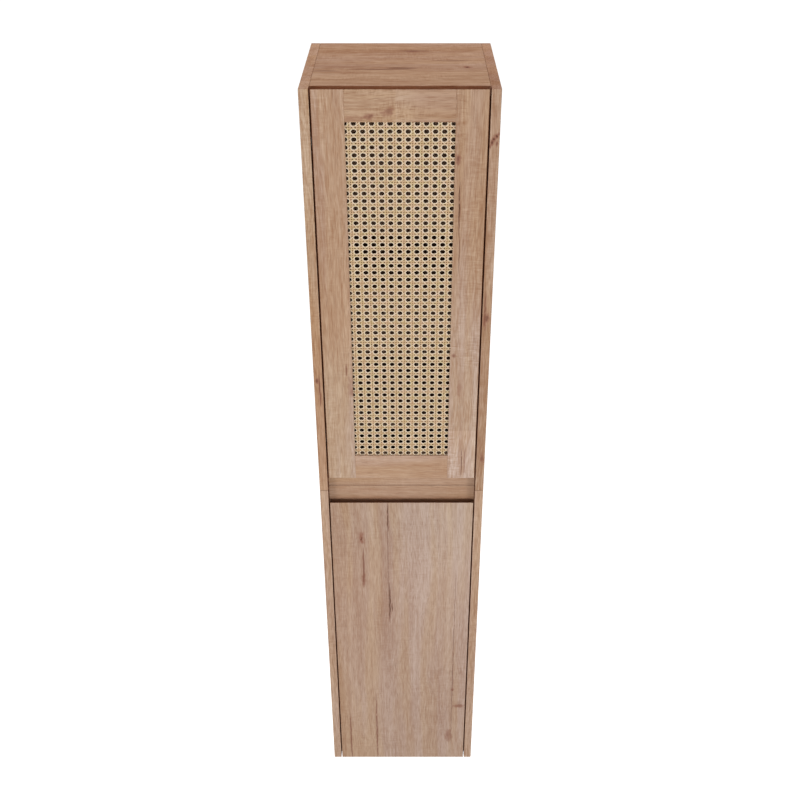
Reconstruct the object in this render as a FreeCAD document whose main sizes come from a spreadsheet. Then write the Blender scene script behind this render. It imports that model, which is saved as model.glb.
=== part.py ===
import FreeCAD, Part
import math
import os
import re
import Sketcher

# A tall wall-hung bathroom cabinet: two stacked boxes, a cane door above and a plain door below.
# X runs to the right seen from the front, Y towards the wall and Z up, in millimetres.
# The wall is the plane y = 0, and the origin is the centre of the four wall screws.

# Driving dimensions
DIMENSIONS = {
    # Cabinet and boards
    "width": 350,
    "depth": 308,
    "box_height": 860,
    "board": 18,
    "edge_ease": 0.6,
    "back_thick": 8,
    "rear_void": 18,
    "groove_depth": 6,
    "groove_play": 0.2,
    "grip_rail_height": 75,
    # Doors
    "door_thick": 18,
    "side_gap": 2,
    "buffer_gap": 1,
    "grip_gap": 33,
    "bevel_land": 1.5,
    "bevel_drop": 16.5,
    "frame_width": 58,
    "frame_dowel_spacing": 18,
    "frame_dowel_skin": 4,
    "frame_dowel_half": 20,
    # Cane panel and what holds it
    "cane_lip": 4,
    "cane_rebate": 8,
    "cane_thick": 2.4,
    "cane_play": 0.3,
    "cane_pitch": 21,
    "cane_gap": 11,
    "bead_depth": 8,
    "bead_play": 0.15,
    "brad_radius": 0.6,
    "brad_length": 16,
    # Shelves and their pins
    "first_shelf_height": 136,
    "shelf_spacing": 300,
    "shelf_play": 0.5,
    "shelf_setback": 2,
    "pin_radius": 2.5,
    "pin_depth": 9,
    "pin_reach": 8,
    "pin_width": 9,
    "pin_inset": 45,
    "pin_hole_step": 32,
    # Dowels and cam fittings
    "dowel_radius": 4,
    "dowel_in_side": 11,
    "dowel_in_end": 21,
    "dowel_inset": 40,
    "cam_radius": 7.5,
    "cam_height": 12.5,
    "cam_setback": 24,
    "cam_bolt_radius": 3,
    "cam_thread_radius": 2.5,
    "cam_thread_length": 11,
    "cam_bolt_stop": 1,
    "fit_play": 0.05,
    "end_play": 0.5,
    # Sleeves and screws that join the boxes
    "sleeve_radius": 4,
    "sleeve_short": 3,
    "join_head_radius": 7.5,
    "join_head": 1.6,
    "join_screw_radius": 2.8,
    "join_tip_gap": 8,
    "join_inset": 40,
    # Hangers and wall rails
    "hanger_width": 18,
    "hanger_depth": 46,
    "hanger_height": 56,
    "peg_radius": 5,
    "peg_depth": 11,
    "peg_inset": 10,
    "hook_width": 12,
    "hook_thick": 3,
    "hook_tail": 30,
    "hook_clear": 2.5,
    "hook_play": 0.2,
    "notch_play": 3,
    "adjuster_radius": 3,
    "adjuster_length": 32,
    "adjuster_inset": 14,
    "adjuster_proud": 1.5,
    "rail_thick": 2,
    "rail_below": 22,
    "rail_lip": 20.5,
    "rail_floor": 8,
    "rail_channel": 6,
    "rail_end_play": 4,
    "rail_screw_inset": 33,
    "rail_screw_radius": 3.25,
    # Concealed hinges
    "hinge_inset": 95,
    "leaf_inset": 2,
    "leaf_wall": 1.85,
    "leaf_height": 52,
    "ear_thick": 3,
    "pocket_play": 0.15,
    "link_inner": 7.5,
    "link_outer": 11.5,
    "link_height": 16,
    "link_start": 30,
    "link_play": 0.25,
    "link_end_play": 1.5,
    "leaf_screw_radius": 1.75,
    "leaf_screw_head": 3.5,
    "leaf_screw_sink": 2,
    "leaf_screw_inset": 8,
    "cabinet_screw_skin": 2,
    "door_screw_length": 26,
    # Catches and buffers
    "magnet_radius": 5,
    "magnet_length": 12,
    "magnet_clear": 0.4,
    "catch_inset": 42,
    "strike_radius": 7,
    "strike_thick": 1.5,
    "buffer_radius": 4,
    "buffer_clear": 0.3,
    "buffer_inset": 20,
}

# Places worked out from the driving dimensions
PLACES = {
    "front": "0 - depth",
    "carcass_front": "front + door_thick + buffer_gap",
    "rail_back": "carcass_front + board",
    "back_face": "0 - rear_void - back_thick",
    "inner_left": "board - width / 2",
    "inner_right": "width / 2 - board",
    "inner_width": "width - 2 * board",
    "hang_drop": "board + hanger_height / 2 + hook_thick / 2 + rail_lip",
    "seam": "hang_drop - box_height / 2",
    "top": "seam + box_height",
    "bottom": "seam - box_height",
    "door_left": "inner_left + side_gap",
    "door_right": "inner_right - side_gap",
    "door_width": "inner_width - 2 * side_gap",
    "door_back": "front + door_thick",
    "upper_door_foot": "seam + grip_gap",
    "lower_door_head": "seam - grip_gap",
    "opening_left": "door_left + frame_width",
    "opening_right": "door_right - frame_width",
    "opening_width": "door_width - 2 * frame_width",
    "opening_low": "upper_door_foot + frame_width",
    "opening_high": "top - frame_width",
    "seat_left": "opening_left - cane_rebate",
    "seat_right": "opening_right + cane_rebate",
    "seat_low": "opening_low - cane_rebate",
    "seat_high": "opening_high + cane_rebate",
    "cane_front": "front + cane_lip",
    "cane_back": "cane_front + cane_thick",
    "frame_middle": "front + door_thick / 2",
    "frame_dowel_far": "frame_width - cane_rebate - dowel_radius - frame_dowel_skin",
    "frame_dowel_near": "frame_dowel_far - frame_dowel_spacing",
    "dowel_front": "rail_back + dowel_inset",
    "dowel_back": "back_face - dowel_inset",
    "cam_line": "(rail_back + back_face) / 2",
    "hinge_x": "inner_left + side_gap / 2",
    "leaf_front": "front + leaf_inset",
    "leaf_back": "front + link_outer + link_play + leaf_wall",
    "leaf_middle": "(leaf_front + leaf_back) / 2",
    "leaf_width": "leaf_back - leaf_front",
    "leaf_depth": "link_outer + link_play + leaf_wall - side_gap / 2",
    "leaf_screw_spread": "leaf_height / 2 - leaf_screw_inset",
    "hanger_front": "back_face - hanger_depth",
    "hook_end": "hook_thick / 2 - rail_thick - rail_channel / 2",
    "hook_drop": "rail_lip - rail_floor - hook_clear",
    "rail_left": "inner_left + rail_end_play",
    "rail_right": "inner_right - rail_end_play",
    "catch_x": "door_right - catch_inset",
    "catch_rise": "(grip_gap + bevel_drop + grip_rail_height) / 2",
    "magnet_front": "carcass_front - buffer_gap + magnet_clear",
    "shelf_front": "carcass_front + shelf_setback",
    "pin_front": "shelf_front + pin_inset",
    "pin_back": "back_face - pin_inset",
}

# The two boxes: the levels of each one's foot and head, and of its door's ends
BOXES = {
    "upper": {"foot": "seam", "head": "top", "door_foot": "upper_door_foot", "door_head": "top"},
    "lower": {"foot": "bottom", "head": "seam", "door_foot": "bottom", "door_head": "lower_door_head"},
}
GRIP_RAIL_FOOT = {"upper": "seam", "lower": "seam - grip_rail_height"}
CATCH_LEVEL = {"upper": "seam + catch_rise", "lower": "seam - catch_rise"}
SHELF_NAMES = ("low", "high")
PIN_HOLES = (-1, 0, 1)
SIDE_BRADS = 5
END_BRADS = 2

ALONG_X = FreeCAD.Rotation(FreeCAD.Vector(0, 1, 0), 90)
AGAINST_X = FreeCAD.Rotation(FreeCAD.Vector(0, 1, 0), -90)
ALONG_Y = FreeCAD.Rotation(FreeCAD.Vector(1, 0, 0), -90)
OVERRUN = 1

document = FreeCAD.newDocument("wall_cabinet")
sheet = document.addObject("Spreadsheet::Sheet", "Dims")
for row, (name, value) in enumerate(DIMENSIONS.items(), start=1):
    sheet.set(f"A{row}", name)
    sheet.set(f"B{row}", str(value))
    sheet.setAlias(f"B{row}", name)
document.recompute()

pieces = []


# Expressions and placing

def spell(text):
    """Write a size in terms of the sheet's cells."""

    def spell_word(match):
        word = match.group(0)
        if word in PLACES:
            return "(" + spell(PLACES[word]) + ")"
        return "Dims." + word if word in DIMENSIONS else word

    return re.sub(r"[a-z][a-z0-9_]*", spell_word, text)


def bind(item, **sizes):
    for size_name, text in sizes.items():
        item.setExpression(size_name, spell(text))


def place(item, x, y, z, turn=None):
    if turn is not None:
        item.Placement = FreeCAD.Placement(FreeCAD.Vector(0, 0, 0), turn)
    for axis, text in (("x", x), ("y", y), ("z", z)):
        item.setExpression("Placement.Base." + axis, spell(text))
    return item


def keep(item, label):
    """Count an item as one of the cabinet's pieces."""
    item.Label = label
    pieces.append(item)
    return item


# Solids

def block(name, x, y, z):
    """A plain block between two levels on each axis, each given as a (low, high) pair."""
    item = document.addObject("Part::Box", name)
    bind(
        item,
        Length=f"({x[1]}) - ({x[0]})",
        Width=f"({y[1]}) - ({y[0]})",
        Height=f"({z[1]}) - ({z[0]})",
    )
    return place(item, x[0], y[0], z[0])


def rod(name, radius, height, x, y, z, turn=None):
    item = document.addObject("Part::Cylinder", name)
    bind(item, Radius=radius, Height=height)
    return place(item, x, y, z, turn)


def rod_x(name, radius, x, y, z):
    """A round bar along X between two levels."""
    return rod(name, radius, f"({x[1]}) - ({x[0]})", x[0], y, z, ALONG_X)


def rod_y(name, radius, x, y, z):
    return rod(name, radius, f"({y[1]}) - ({y[0]})", x, y[0], z, ALONG_Y)


def rod_z(name, radius, x, y, z):
    return rod(name, radius, f"({z[1]}) - ({z[0]})", x, y, z[0])


def cone_x(name, wide, narrow, height, x, y, z, turn):
    item = document.addObject("Part::Cone", name)
    bind(item, Radius1=wide, Radius2=narrow, Height=height)
    return place(item, x, y, z, turn)


def join(name, items):
    item = document.addObject("Part::MultiFuse", name)
    item.Shapes = items
    return item


def group(label, items):
    """Identical pieces that share one node, each its own solid."""
    item = document.addObject("Part::Compound", label)
    item.Links = items
    return keep(item, label)


def carve(name, base, cuts):
    item = document.addObject("Part::Cut", name)
    item.Base = base
    item.Tool = cuts[0] if len(cuts) == 1 else join(name + "_cuts", cuts)
    return item


def stadium_x(name, width, height, x, y, z):
    """A round-ended block along X, upright, centred at y and z."""
    radius = f"({width}) / 2"
    rise = f"(({height}) - ({width})) / 2"
    across = (f"{y} - {radius}", f"{y} + {radius}")
    flat = block(name + "_flat", x, across, (f"{z} - {rise}", f"{z} + {rise}"))
    ends = [
        rod_x(f"{name}_end_{end}", radius, x, y, f"{z} {sign} {rise}")
        for end, sign in (("low", "-"), ("high", "+"))
    ]
    return join(name, [flat] + ends)


def ring_sector(name, inner, outer, height, x, y, z, start, sweep):
    """A curved bar round an upright axis, from the start angle through the sweep."""
    whole = rod(name + "_outer", outer, height, x, y, z)
    bind(whole, Angle=sweep)
    whole.setExpression("Placement.Rotation.Angle", spell(start))
    core = rod(name + "_inner", inner, height, x, y, z)
    return carve(name, whole, [core])


def board(name, x, y, z):
    """A sawn board with eased edges, between two levels on each axis."""
    body = document.addObject("PartDesign::Body", name)
    sketch = body.newObject("Sketcher::SketchObject", name + "_outline")
    plane = next(item for item in body.Origin.OriginFeatures if item.Role == "XY_Plane")
    sketch.AttachmentSupport = [(plane, "")]
    sketch.MapMode = "FlatFace"
    corners = [(0, 0), (100, 0), (100, 100), (0, 100)]
    for index, corner in enumerate(corners):
        end = corners[(index + 1) % 4]
        sketch.addGeometry(Part.LineSegment(FreeCAD.Vector(*corner, 0), FreeCAD.Vector(*end, 0)))
    for index in range(4):
        sketch.addConstraint(Sketcher.Constraint("Coincident", index, 2, (index + 1) % 4, 1))
        direction = "Vertical" if index % 2 else "Horizontal"
        sketch.addConstraint(Sketcher.Constraint(direction, index))
    sketch.addConstraint(Sketcher.Constraint("Coincident", 0, 1, -1, 1))
    for kind, line, size_name, span in (("DistanceX", 0, "span_x", x), ("DistanceY", 1, "span_y", y)):
        constraint = sketch.addConstraint(Sketcher.Constraint(kind, line, 1, line, 2, 100))
        sketch.renameConstraint(constraint, size_name)
        sketch.setExpression("Constraints." + size_name, spell(f"({span[1]}) - ({span[0]})"))
    pad = body.newObject("PartDesign::Pad", name + "_pad")
    pad.Profile = sketch
    bind(pad, Length=f"({z[1]}) - ({z[0]})")
    document.recompute()
    eased = body.newObject("PartDesign::Chamfer", name + "_eased")
    eased.Base = (pad, ["Edge1"])
    eased.UseAllEdges = True
    bind(eased, Size="edge_ease")
    return place(body, x[0], y[0], z[0])


# Ends of a board that meets the side panels, seen from the middle of the cabinet

def outward_left(depth):
    """From a depth inside the left side panel to just inside the cabinet."""
    return (f"inner_left - ({depth})", f"inner_left + {OVERRUN}")


def outward_right(depth):
    return (f"inner_right - {OVERRUN}", f"inner_right + ({depth})")


def inward_left(depth):
    """From just outside a board's left end to a depth inside it."""
    return (f"inner_left - {OVERRUN}", f"inner_left + ({depth})")


def inward_right(depth):
    return (f"inner_right - ({depth})", f"inner_right + {OVERRUN}")


SIDE_HOLE = {"left": outward_left, "right": outward_right}
END_HOLE = {"left": inward_left, "right": inward_right}


def across_joint(side, in_side, in_end):
    """The X levels of a fastener that crosses from a side panel into the end of a board."""
    if side == "left":
        return (f"inner_left - ({in_side})", f"inner_left + ({in_end})")
    return (f"inner_right - ({in_end})", f"inner_right + ({in_side})")


def panel_levels(box):
    """The two panels of a box: the level of each one's middle, and of its face inside the box."""
    return {
        "foot": (f"{box['foot']} + board / 2", f"{box['foot']} + board"),
        "head": (f"{box['head']} - board / 2", f"{box['head']} - board"),
    }


def dowel_places(box_name):
    """Where dowels cross into each side panel of a box: the panels' ends and the grip rail's end."""
    places = []
    for middle, _ in panel_levels(BOXES[box_name]).values():
        places += [("dowel_front", middle), ("dowel_back", middle)]
    places.append(("carcass_front + board / 2", f"{GRIP_RAIL_FOOT[box_name]} + grip_rail_height / 2"))
    return places


def shelf_level(box, index):
    return f"{box['foot']} + board + first_shelf_height + {index} * shelf_spacing"


def hinge_levels(box):
    return (f"{box['door_foot']} + hinge_inset", f"{box['door_head']} - hinge_inset")


def rail_level(box):
    return f"{box['head']} - hang_drop"


def hook_level(box):
    return f"{rail_level(box)} + rail_lip"


def peg_levels(box):
    centre = f"{box['head']} - board - hanger_height / 2"
    return (f"{centre} - (hanger_height / 2 - peg_inset)", f"{centre} + (hanger_height / 2 - peg_inset)")


def hanger_middle(side):
    return "inner_left + hanger_width / 2" if side == "left" else "inner_right - hanger_width / 2"


def back_groove(name, box):
    """The groove round the inside of a box that holds its back panel."""
    reach = "groove_depth + groove_play"
    return block(
        name,
        (f"inner_left - ({reach})", f"inner_right + {reach}"),
        ("back_face - groove_play", "0 - rear_void + groove_play"),
        (f"{box['foot']} + board - ({reach})", f"{box['head']} - board + {reach}"),
    )


# Side panels

def side_panel(box_name, side):
    box = BOXES[box_name]
    label = f"{box_name}_{side}_side"
    outer = ("0 - width / 2", "inner_left") if side == "left" else ("inner_right", "width / 2")
    hole = SIDE_HOLE[side]
    cuts = [back_groove(label + "_groove", box)]
    for index, (y, z) in enumerate(dowel_places(box_name)):
        x = hole("dowel_in_side + end_play")
        cuts.append(rod_x(f"{label}_dowel_{index}", "dowel_radius + fit_play", x, y, z))
    for end, (middle, _) in panel_levels(box).items():
        x = hole("cam_thread_length + end_play")
        cuts.append(rod_x(f"{label}_cam_{end}", "cam_thread_radius + fit_play", x, "cam_line", middle))
    for shelf, _ in enumerate(SHELF_NAMES):
        for row, y in enumerate(("pin_front", "pin_back")):
            for step in PIN_HOLES:
                z = f"{shelf_level(box, shelf)} - pin_radius + {step} * pin_hole_step"
                x = hole("pin_depth + end_play")
                pin_name = f"{label}_pin_{shelf}_{row}_{step + 1}"
                cuts.append(rod_x(pin_name, "pin_radius + fit_play", x, y, z))
    for index, z in enumerate(peg_levels(box)):
        x = hole("peg_depth + end_play")
        y = "back_face - hanger_depth / 2"
        cuts.append(rod_x(f"{label}_peg_{index}", "peg_radius + fit_play", x, y, z))
    if side == "left":
        cuts += hinge_cuts(label, box, "cabinet")
    blank = board(label + "_blank", outer, ("front", "0"), (box["foot"], box["head"]))
    keep(carve(label, blank, cuts), label)


# Panels across the boxes, with dowels and cam fittings at both ends

def cam_x(side):
    return "inner_left + cam_setback" if side == "left" else "inner_right - cam_setback"


def cam_span(end, face):
    """The levels of a cam that is let into a panel from its face inside the box."""
    if end == "foot":
        return (f"{face} - cam_height", face)
    return (face, f"{face} + cam_height")


def cam_bore_span(end, face):
    if end == "foot":
        return (f"{face} - cam_height - end_play", f"{face} + {OVERRUN}")
    return (f"{face} - {OVERRUN}", f"{face} + cam_height + end_play")


def cross_panel(label, box_name, end, panel_front):
    box = BOXES[box_name]
    middle, face = panel_levels(box)[end]
    cuts = [back_groove(label + "_groove", box)]
    for side, hole in END_HOLE.items():
        for row, y in enumerate(("dowel_front", "dowel_back")):
            x = hole("dowel_in_end + end_play")
            cuts.append(rod_x(f"{label}_dowel_{side}_{row}", "dowel_radius + fit_play", x, y, middle))
        span = cam_bore_span(end, face)
        cuts.append(rod_z(f"{label}_cam_{side}", "cam_radius + fit_play", cam_x(side), "cam_line", span))
        bolt = f"{label}_bolt_{side}"
        cuts.append(rod_x(bolt, "cam_bolt_radius + fit_play", hole("cam_setback"), "cam_line", middle))
    if (box_name, end) in (("upper", "foot"), ("lower", "head")):
        for index, (x, y) in enumerate(join_places()):
            span = (f"{middle} - board", f"{middle} + board")
            cuts.append(rod_z(f"{label}_join_{index}", "sleeve_radius + fit_play", x, y, span))
    low, high = f"{middle} - board / 2", f"{middle} + board / 2"
    blank = board(label + "_blank", ("inner_left", "inner_right"), (panel_front, "0"), (low, high))
    keep(carve(label, blank, cuts), label)


def join_places():
    columns = ("inner_left + join_inset", "inner_right - join_inset")
    rows = ("rail_back + join_inset", "back_face - join_inset")
    return [(x, y) for x in columns for y in rows]


def grip_rail(box_name):
    label = f"{box_name}_grip_rail"
    foot = GRIP_RAIL_FOOT[box_name]
    middle = f"{foot} + grip_rail_height / 2"
    cuts = []
    for side, hole in END_HOLE.items():
        x = hole("dowel_in_end + end_play")
        y = "carcass_front + board / 2"
        cuts.append(rod_x(f"{label}_dowel_{side}", "dowel_radius + fit_play", x, y, middle))
    bore = (f"magnet_front - {OVERRUN}", "magnet_front + magnet_length + end_play")
    level = CATCH_LEVEL[box_name]
    cuts.append(rod_y(label + "_magnet", "magnet_radius + fit_play", "catch_x", bore, level))
    blank = board(
        label + "_blank",
        ("inner_left", "inner_right"),
        ("carcass_front", "rail_back"),
        (foot, f"{foot} + grip_rail_height"),
    )
    keep(carve(label, blank, cuts), label)


def back_panel(box_name):
    box = BOXES[box_name]
    label = f"{box_name}_back_panel"
    blank = block(
        label + "_blank",
        ("inner_left - groove_depth", "inner_right + groove_depth"),
        ("back_face", "0 - rear_void"),
        (f"{box['foot']} + board - groove_depth", f"{box['head']} - board + groove_depth"),
    )
    half = "(hook_width / 2 + notch_play)"
    notches = []
    for side in ("left", "right"):
        x = hanger_middle(side)
        notches.append(block(
            f"{label}_notch_{side}",
            (f"{x} - {half}", f"{x} + {half}"),
            (f"back_face - {OVERRUN}", f"{OVERRUN} - rear_void"),
            (f"{hook_level(box)} - notch_play", f"{hook_level(box)} + hook_thick + notch_play"),
        ))
    keep(carve(label, blank, notches), label)


# Shelves

def shelf(box_name, index):
    level = shelf_level(BOXES[box_name], index)
    label = f"{box_name}_shelf_{SHELF_NAMES[index]}"
    keep(
        board(
            label,
            ("inner_left + shelf_play", "inner_right - shelf_play"),
            ("shelf_front", "back_face - shelf_play"),
            (level, f"{level} + board"),
        ),
        label,
    )


def shelf_pin(name, side, y, level):
    """A peg in a side panel with a flat tongue under the shelf."""
    if side == "left":
        tongue_x = ("inner_left", "inner_left + pin_reach")
        peg_x = ("inner_left - pin_depth", "inner_left + pin_reach / 2")
    else:
        tongue_x = ("inner_right - pin_reach", "inner_right")
        peg_x = ("inner_right - pin_reach / 2", "inner_right + pin_depth")
    tongue_y = (f"{y} - pin_width / 2", f"{y} + pin_width / 2")
    tongue = block(name + "_tongue", tongue_x, tongue_y, (f"{level} - 2 * pin_radius", level))
    peg = rod_x(name + "_peg", "pin_radius", peg_x, y, f"{level} - pin_radius")
    return join(name, [tongue, peg])


def shelf_pins():
    pins = []
    for box_name, box in BOXES.items():
        for index, shelf_name in enumerate(SHELF_NAMES):
            for side in ("left", "right"):
                for row, y in (("front", "pin_front"), ("back", "pin_back")):
                    name = f"pin_{box_name}_{shelf_name}_{side}_{row}"
                    pins.append(shelf_pin(name, side, y, shelf_level(box, index)))
    group("shelf_pins", pins)


# Fasteners inside the boards

def carcass_dowels():
    dowels = []
    for box_name in BOXES:
        for side in ("left", "right"):
            for index, (y, z) in enumerate(dowel_places(box_name)):
                x = across_joint(side, "dowel_in_side", "dowel_in_end")
                dowels.append(rod_x(f"dowel_{box_name}_{side}_{index}", "dowel_radius", x, y, z))
    group("carcass_dowels", dowels)


def cam_fittings():
    cams, bolts = [], []
    for box_name, box in BOXES.items():
        for end, (middle, face) in panel_levels(box).items():
            for side in ("left", "right"):
                name = f"{box_name}_{end}_{side}"
                span = cam_span(end, face)
                whole = rod_z(f"cam_whole_{name}", "cam_radius", cam_x(side), "cam_line", span)
                bore_x = END_HOLE[side]("cam_setback")
                bore = rod_x(f"cam_bore_{name}", "cam_bolt_radius + fit_play", bore_x, "cam_line", middle)
                cams.append(carve(f"cam_{name}", whole, [bore]))
                thread_x = across_joint(side, "cam_thread_length", "cam_bolt_stop")
                thread = rod_x(f"cam_thread_{name}", "cam_thread_radius", thread_x, "cam_line", middle)
                shaft_x = across_joint(side, "0", "cam_setback - cam_bolt_stop")
                shaft = rod_x(f"cam_shaft_{name}", "cam_bolt_radius", shaft_x, "cam_line", middle)
                bolts.append(join(f"cam_bolt_{name}", [thread, shaft]))
    group("cam_locks", cams)
    group("cam_bolts", bolts)


def joining_fasteners():
    """Sleeves from the upper box and screws from the lower box, which hold the boxes together."""
    sleeves, screws = [], []
    high, low = "seam + board", "seam - board"
    sleeve_foot = f"{low} + sleeve_short"
    for index, (x, y) in enumerate(join_places()):
        head = rod_z(f"sleeve_head_{index}", "join_head_radius", x, y, (high, f"{high} + join_head"))
        tube = rod_z(f"sleeve_tube_{index}", "sleeve_radius", x, y, (sleeve_foot, high))
        bore_span = (f"{sleeve_foot} - {OVERRUN}", high)
        bore = rod_z(f"sleeve_bore_{index}", "join_screw_radius + fit_play", x, y, bore_span)
        sleeves.append(carve(f"sleeve_{index}", join(f"sleeve_whole_{index}", [head, tube]), [bore]))
        screw_head = rod_z(f"join_head_{index}", "join_head_radius", x, y, (f"{low} - join_head", low))
        shank_span = (low, f"{high} - join_tip_gap")
        shank = rod_z(f"join_shank_{index}", "join_screw_radius", x, y, shank_span)
        screws.append(join(f"join_screw_{index}", [screw_head, shank]))
    group("joining_sleeves", sleeves)
    group("joining_screws", screws)


# Hangers and wall rails

def adjuster_levels(box):
    centre = f"{hook_level(box)} + hook_thick / 2"
    spread = "(hanger_height / 2 - adjuster_inset)"
    return (f"{centre} - {spread}", f"{centre} + {spread}")


def hanger(box_name, side):
    box = BOXES[box_name]
    label = f"{box_name}_{side}_hanger"
    middle = hanger_middle(side)
    x = (f"{middle} - hanger_width / 2", f"{middle} + hanger_width / 2")
    head = f"{box['head']} - board"
    case = block(label + "_case", x, ("hanger_front", "back_face"), (f"{head} - hanger_height", head))
    pegs = []
    for index, z in enumerate(peg_levels(box)):
        span = across_joint(side, "peg_depth", "hanger_width / 2")
        pegs.append(rod_x(f"{label}_peg_{index}", "peg_radius", span, "back_face - hanger_depth / 2", z))
    half = "(hook_width / 2 + hook_play)"
    hook_z = hook_level(box)
    cuts = [block(
        label + "_slot",
        (f"{middle} - {half}", f"{middle} + {half}"),
        ("back_face - hook_tail - hook_play", f"back_face + {OVERRUN}"),
        (f"{hook_z} - hook_play", f"{hook_z} + hook_thick + hook_play"),
    )]
    bore = (f"hanger_front - {OVERRUN}", "hanger_front - adjuster_proud + adjuster_length + end_play")
    for index, z in enumerate(adjuster_levels(box)):
        cuts.append(rod_y(f"{label}_bore_{index}", "adjuster_radius + fit_play", middle, bore, z))
    keep(carve(label, join(label + "_whole", [case] + pegs), cuts), label)


def hanger_hook(name, box, side):
    middle = hanger_middle(side)
    x = (f"{middle} - hook_width / 2", f"{middle} + hook_width / 2")
    foot = hook_level(box)
    head = f"{foot} + hook_thick"
    arm = block(name + "_arm", x, ("back_face - hook_tail", "hook_end"), (foot, head))
    lip_y = ("hook_end - hook_thick", "hook_end")
    lip = block(name + "_lip", x, lip_y, (f"{foot} - hook_drop", head))
    return join(name, [arm, lip])


def hanger_hardware():
    hooks, adjusters = [], []
    span = ("hanger_front - adjuster_proud", "hanger_front - adjuster_proud + adjuster_length")
    for box_name, box in BOXES.items():
        for side in ("left", "right"):
            hanger(box_name, side)
            hooks.append(hanger_hook(f"hook_{box_name}_{side}", box, side))
            for index, z in enumerate(adjuster_levels(box)):
                name = f"adjuster_{box_name}_{side}_{index}"
                adjusters.append(rod_y(name, "adjuster_radius", hanger_middle(side), span, z))
    group("hanger_hooks", hooks)
    group("hanger_adjusters", adjusters)


def wall_rail(box_name):
    """A steel rail on the wall, bent into a channel that the hooks drop into."""
    label = f"{box_name}_wall_rail"
    level = rail_level(BOXES[box_name])
    x = ("rail_left", "rail_right")
    inside = "0 - rail_thick - rail_channel"
    floor = f"{level} + rail_floor"
    lip = f"{level} + rail_lip"
    plate = block(label + "_plate", x, ("0 - rail_thick", "0"), (f"{level} - rail_below", lip))
    channel_y = (f"{inside} - rail_thick", "0 - rail_thick")
    channel = block(label + "_channel", x, channel_y, (f"{floor} - rail_thick", floor))
    edge = block(label + "_edge", x, (f"{inside} - rail_thick", inside), (f"{floor} - rail_thick", lip))
    holes = []
    for index, centre in enumerate(("rail_left + rail_screw_inset", "rail_right - rail_screw_inset")):
        span = (f"0 - rail_thick - {OVERRUN}", f"{OVERRUN}")
        holes.append(rod_y(f"{label}_hole_{index}", "rail_screw_radius", centre, span, level))
    keep(carve(label, join(label + "_whole", [plate, channel, edge]), holes), label)


# Concealed hinges: a leaf in the side panel, a leaf in the door's edge and a curved link between them

def in_cabinet(depth, past="0"):
    """X levels from a depth inside the left side panel to its inner face, or past it."""
    return (f"inner_left - ({depth})", f"inner_left + {past}")


def in_door(depth, past="0"):
    return (f"door_left - {past}", f"door_left + ({depth})")


HINGE_SIDES = {
    "cabinet": {
        "levels": in_cabinet,
        "face": "inner_left",
        "turn": AGAINST_X,
        "screw_length": "board - cabinet_screw_skin",
        "slot_start": "90",
    },
    "door": {
        "levels": in_door,
        "face": "door_left",
        "turn": ALONG_X,
        "screw_length": "door_screw_length",
        "slot_start": "link_start - link_end_play",
    },
}


def leaf_screw_levels(level):
    return (f"{level} - leaf_screw_spread", f"{level} + leaf_screw_spread")


def leaf_screw(name, hinge_side, z, play="0"):
    """A countersunk screw along X, or with some play the bore that takes it."""
    wide, narrow = f"leaf_screw_head + {play}", f"leaf_screw_radius + {play}"
    place_and_turn = (hinge_side["face"], "leaf_middle", z, hinge_side["turn"])
    head = cone_x(name + "_head", wide, narrow, "leaf_screw_sink", *place_and_turn)
    span = hinge_side["levels"](hinge_side["screw_length"])
    shank = rod_x(name + "_shank", narrow, span, "leaf_middle", z)
    return join(name, [head, shank])


def leaf_form(name, hinge_side, level, play="0", past="0"):
    """A round-ended plate with a deeper core for the link, or with some play the pocket that takes it."""
    plate_x = hinge_side["levels"](f"ear_thick + {play}", past)
    core_x = hinge_side["levels"](f"leaf_depth + {play}", past)
    width, height = f"leaf_width + 2 * {play}", f"leaf_height + 2 * {play}"
    plate = stadium_x(name + "_plate", width, height, plate_x, "leaf_middle", level)
    half_core = f"(link_height / 2 + link_play + leaf_wall + {play})"
    core_y = (f"leaf_front - {play}", f"leaf_back + {play}")
    core = block(name + "_core", core_x, core_y, (f"{level} - {half_core}", f"{level} + {half_core}"))
    return join(name, [plate, core])


def link_slot(name, level, start):
    """The curved slot in a leaf that the link slides in."""
    return ring_sector(
        name,
        "link_inner - link_play",
        "link_outer + link_play",
        "link_height + 2 * link_play",
        "hinge_x",
        "front",
        f"{level} - link_height / 2 - link_play",
        start,
        "90 - link_start + link_end_play",
    )


def hinge_leaf(name, hinge_side, level):
    cuts = [link_slot(name + "_slot", level, hinge_side["slot_start"])]
    for end, z in enumerate(leaf_screw_levels(level)):
        cuts.append(leaf_screw(f"{name}_seat_{end}", hinge_side, z, "fit_play"))
    return carve(name, leaf_form(name + "_whole", hinge_side, level), cuts)


def hinge_link(name, level):
    return ring_sector(
        name,
        "link_inner",
        "link_outer",
        "link_height",
        "hinge_x",
        "front",
        f"{level} - link_height / 2",
        "link_start",
        "180 - 2 * link_start",
    )


def hinges(box_name):
    """Both leaves, the link and the screws of each hinge of one door; returns the cabinet's screws."""
    levels = hinge_levels(BOXES[box_name])
    screws = {}
    for part, hinge_side in HINGE_SIDES.items():
        leaves = []
        screws[part] = []
        for index, level in enumerate(levels):
            name = f"{box_name}_hinge_{index}_{part}"
            leaves.append(hinge_leaf(name, hinge_side, level))
            for end, z in enumerate(leaf_screw_levels(level)):
                screws[part].append(leaf_screw(f"{name}_screw_{end}", hinge_side, z))
        group(f"{box_name}_hinge_{part}_leaves", leaves)
    links = [hinge_link(f"{box_name}_hinge_{index}_link", level) for index, level in enumerate(levels)]
    group(f"{box_name}_hinge_links", links)
    group(f"{box_name}_door_leaf_screws", screws["door"])
    return screws["cabinet"]


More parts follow.
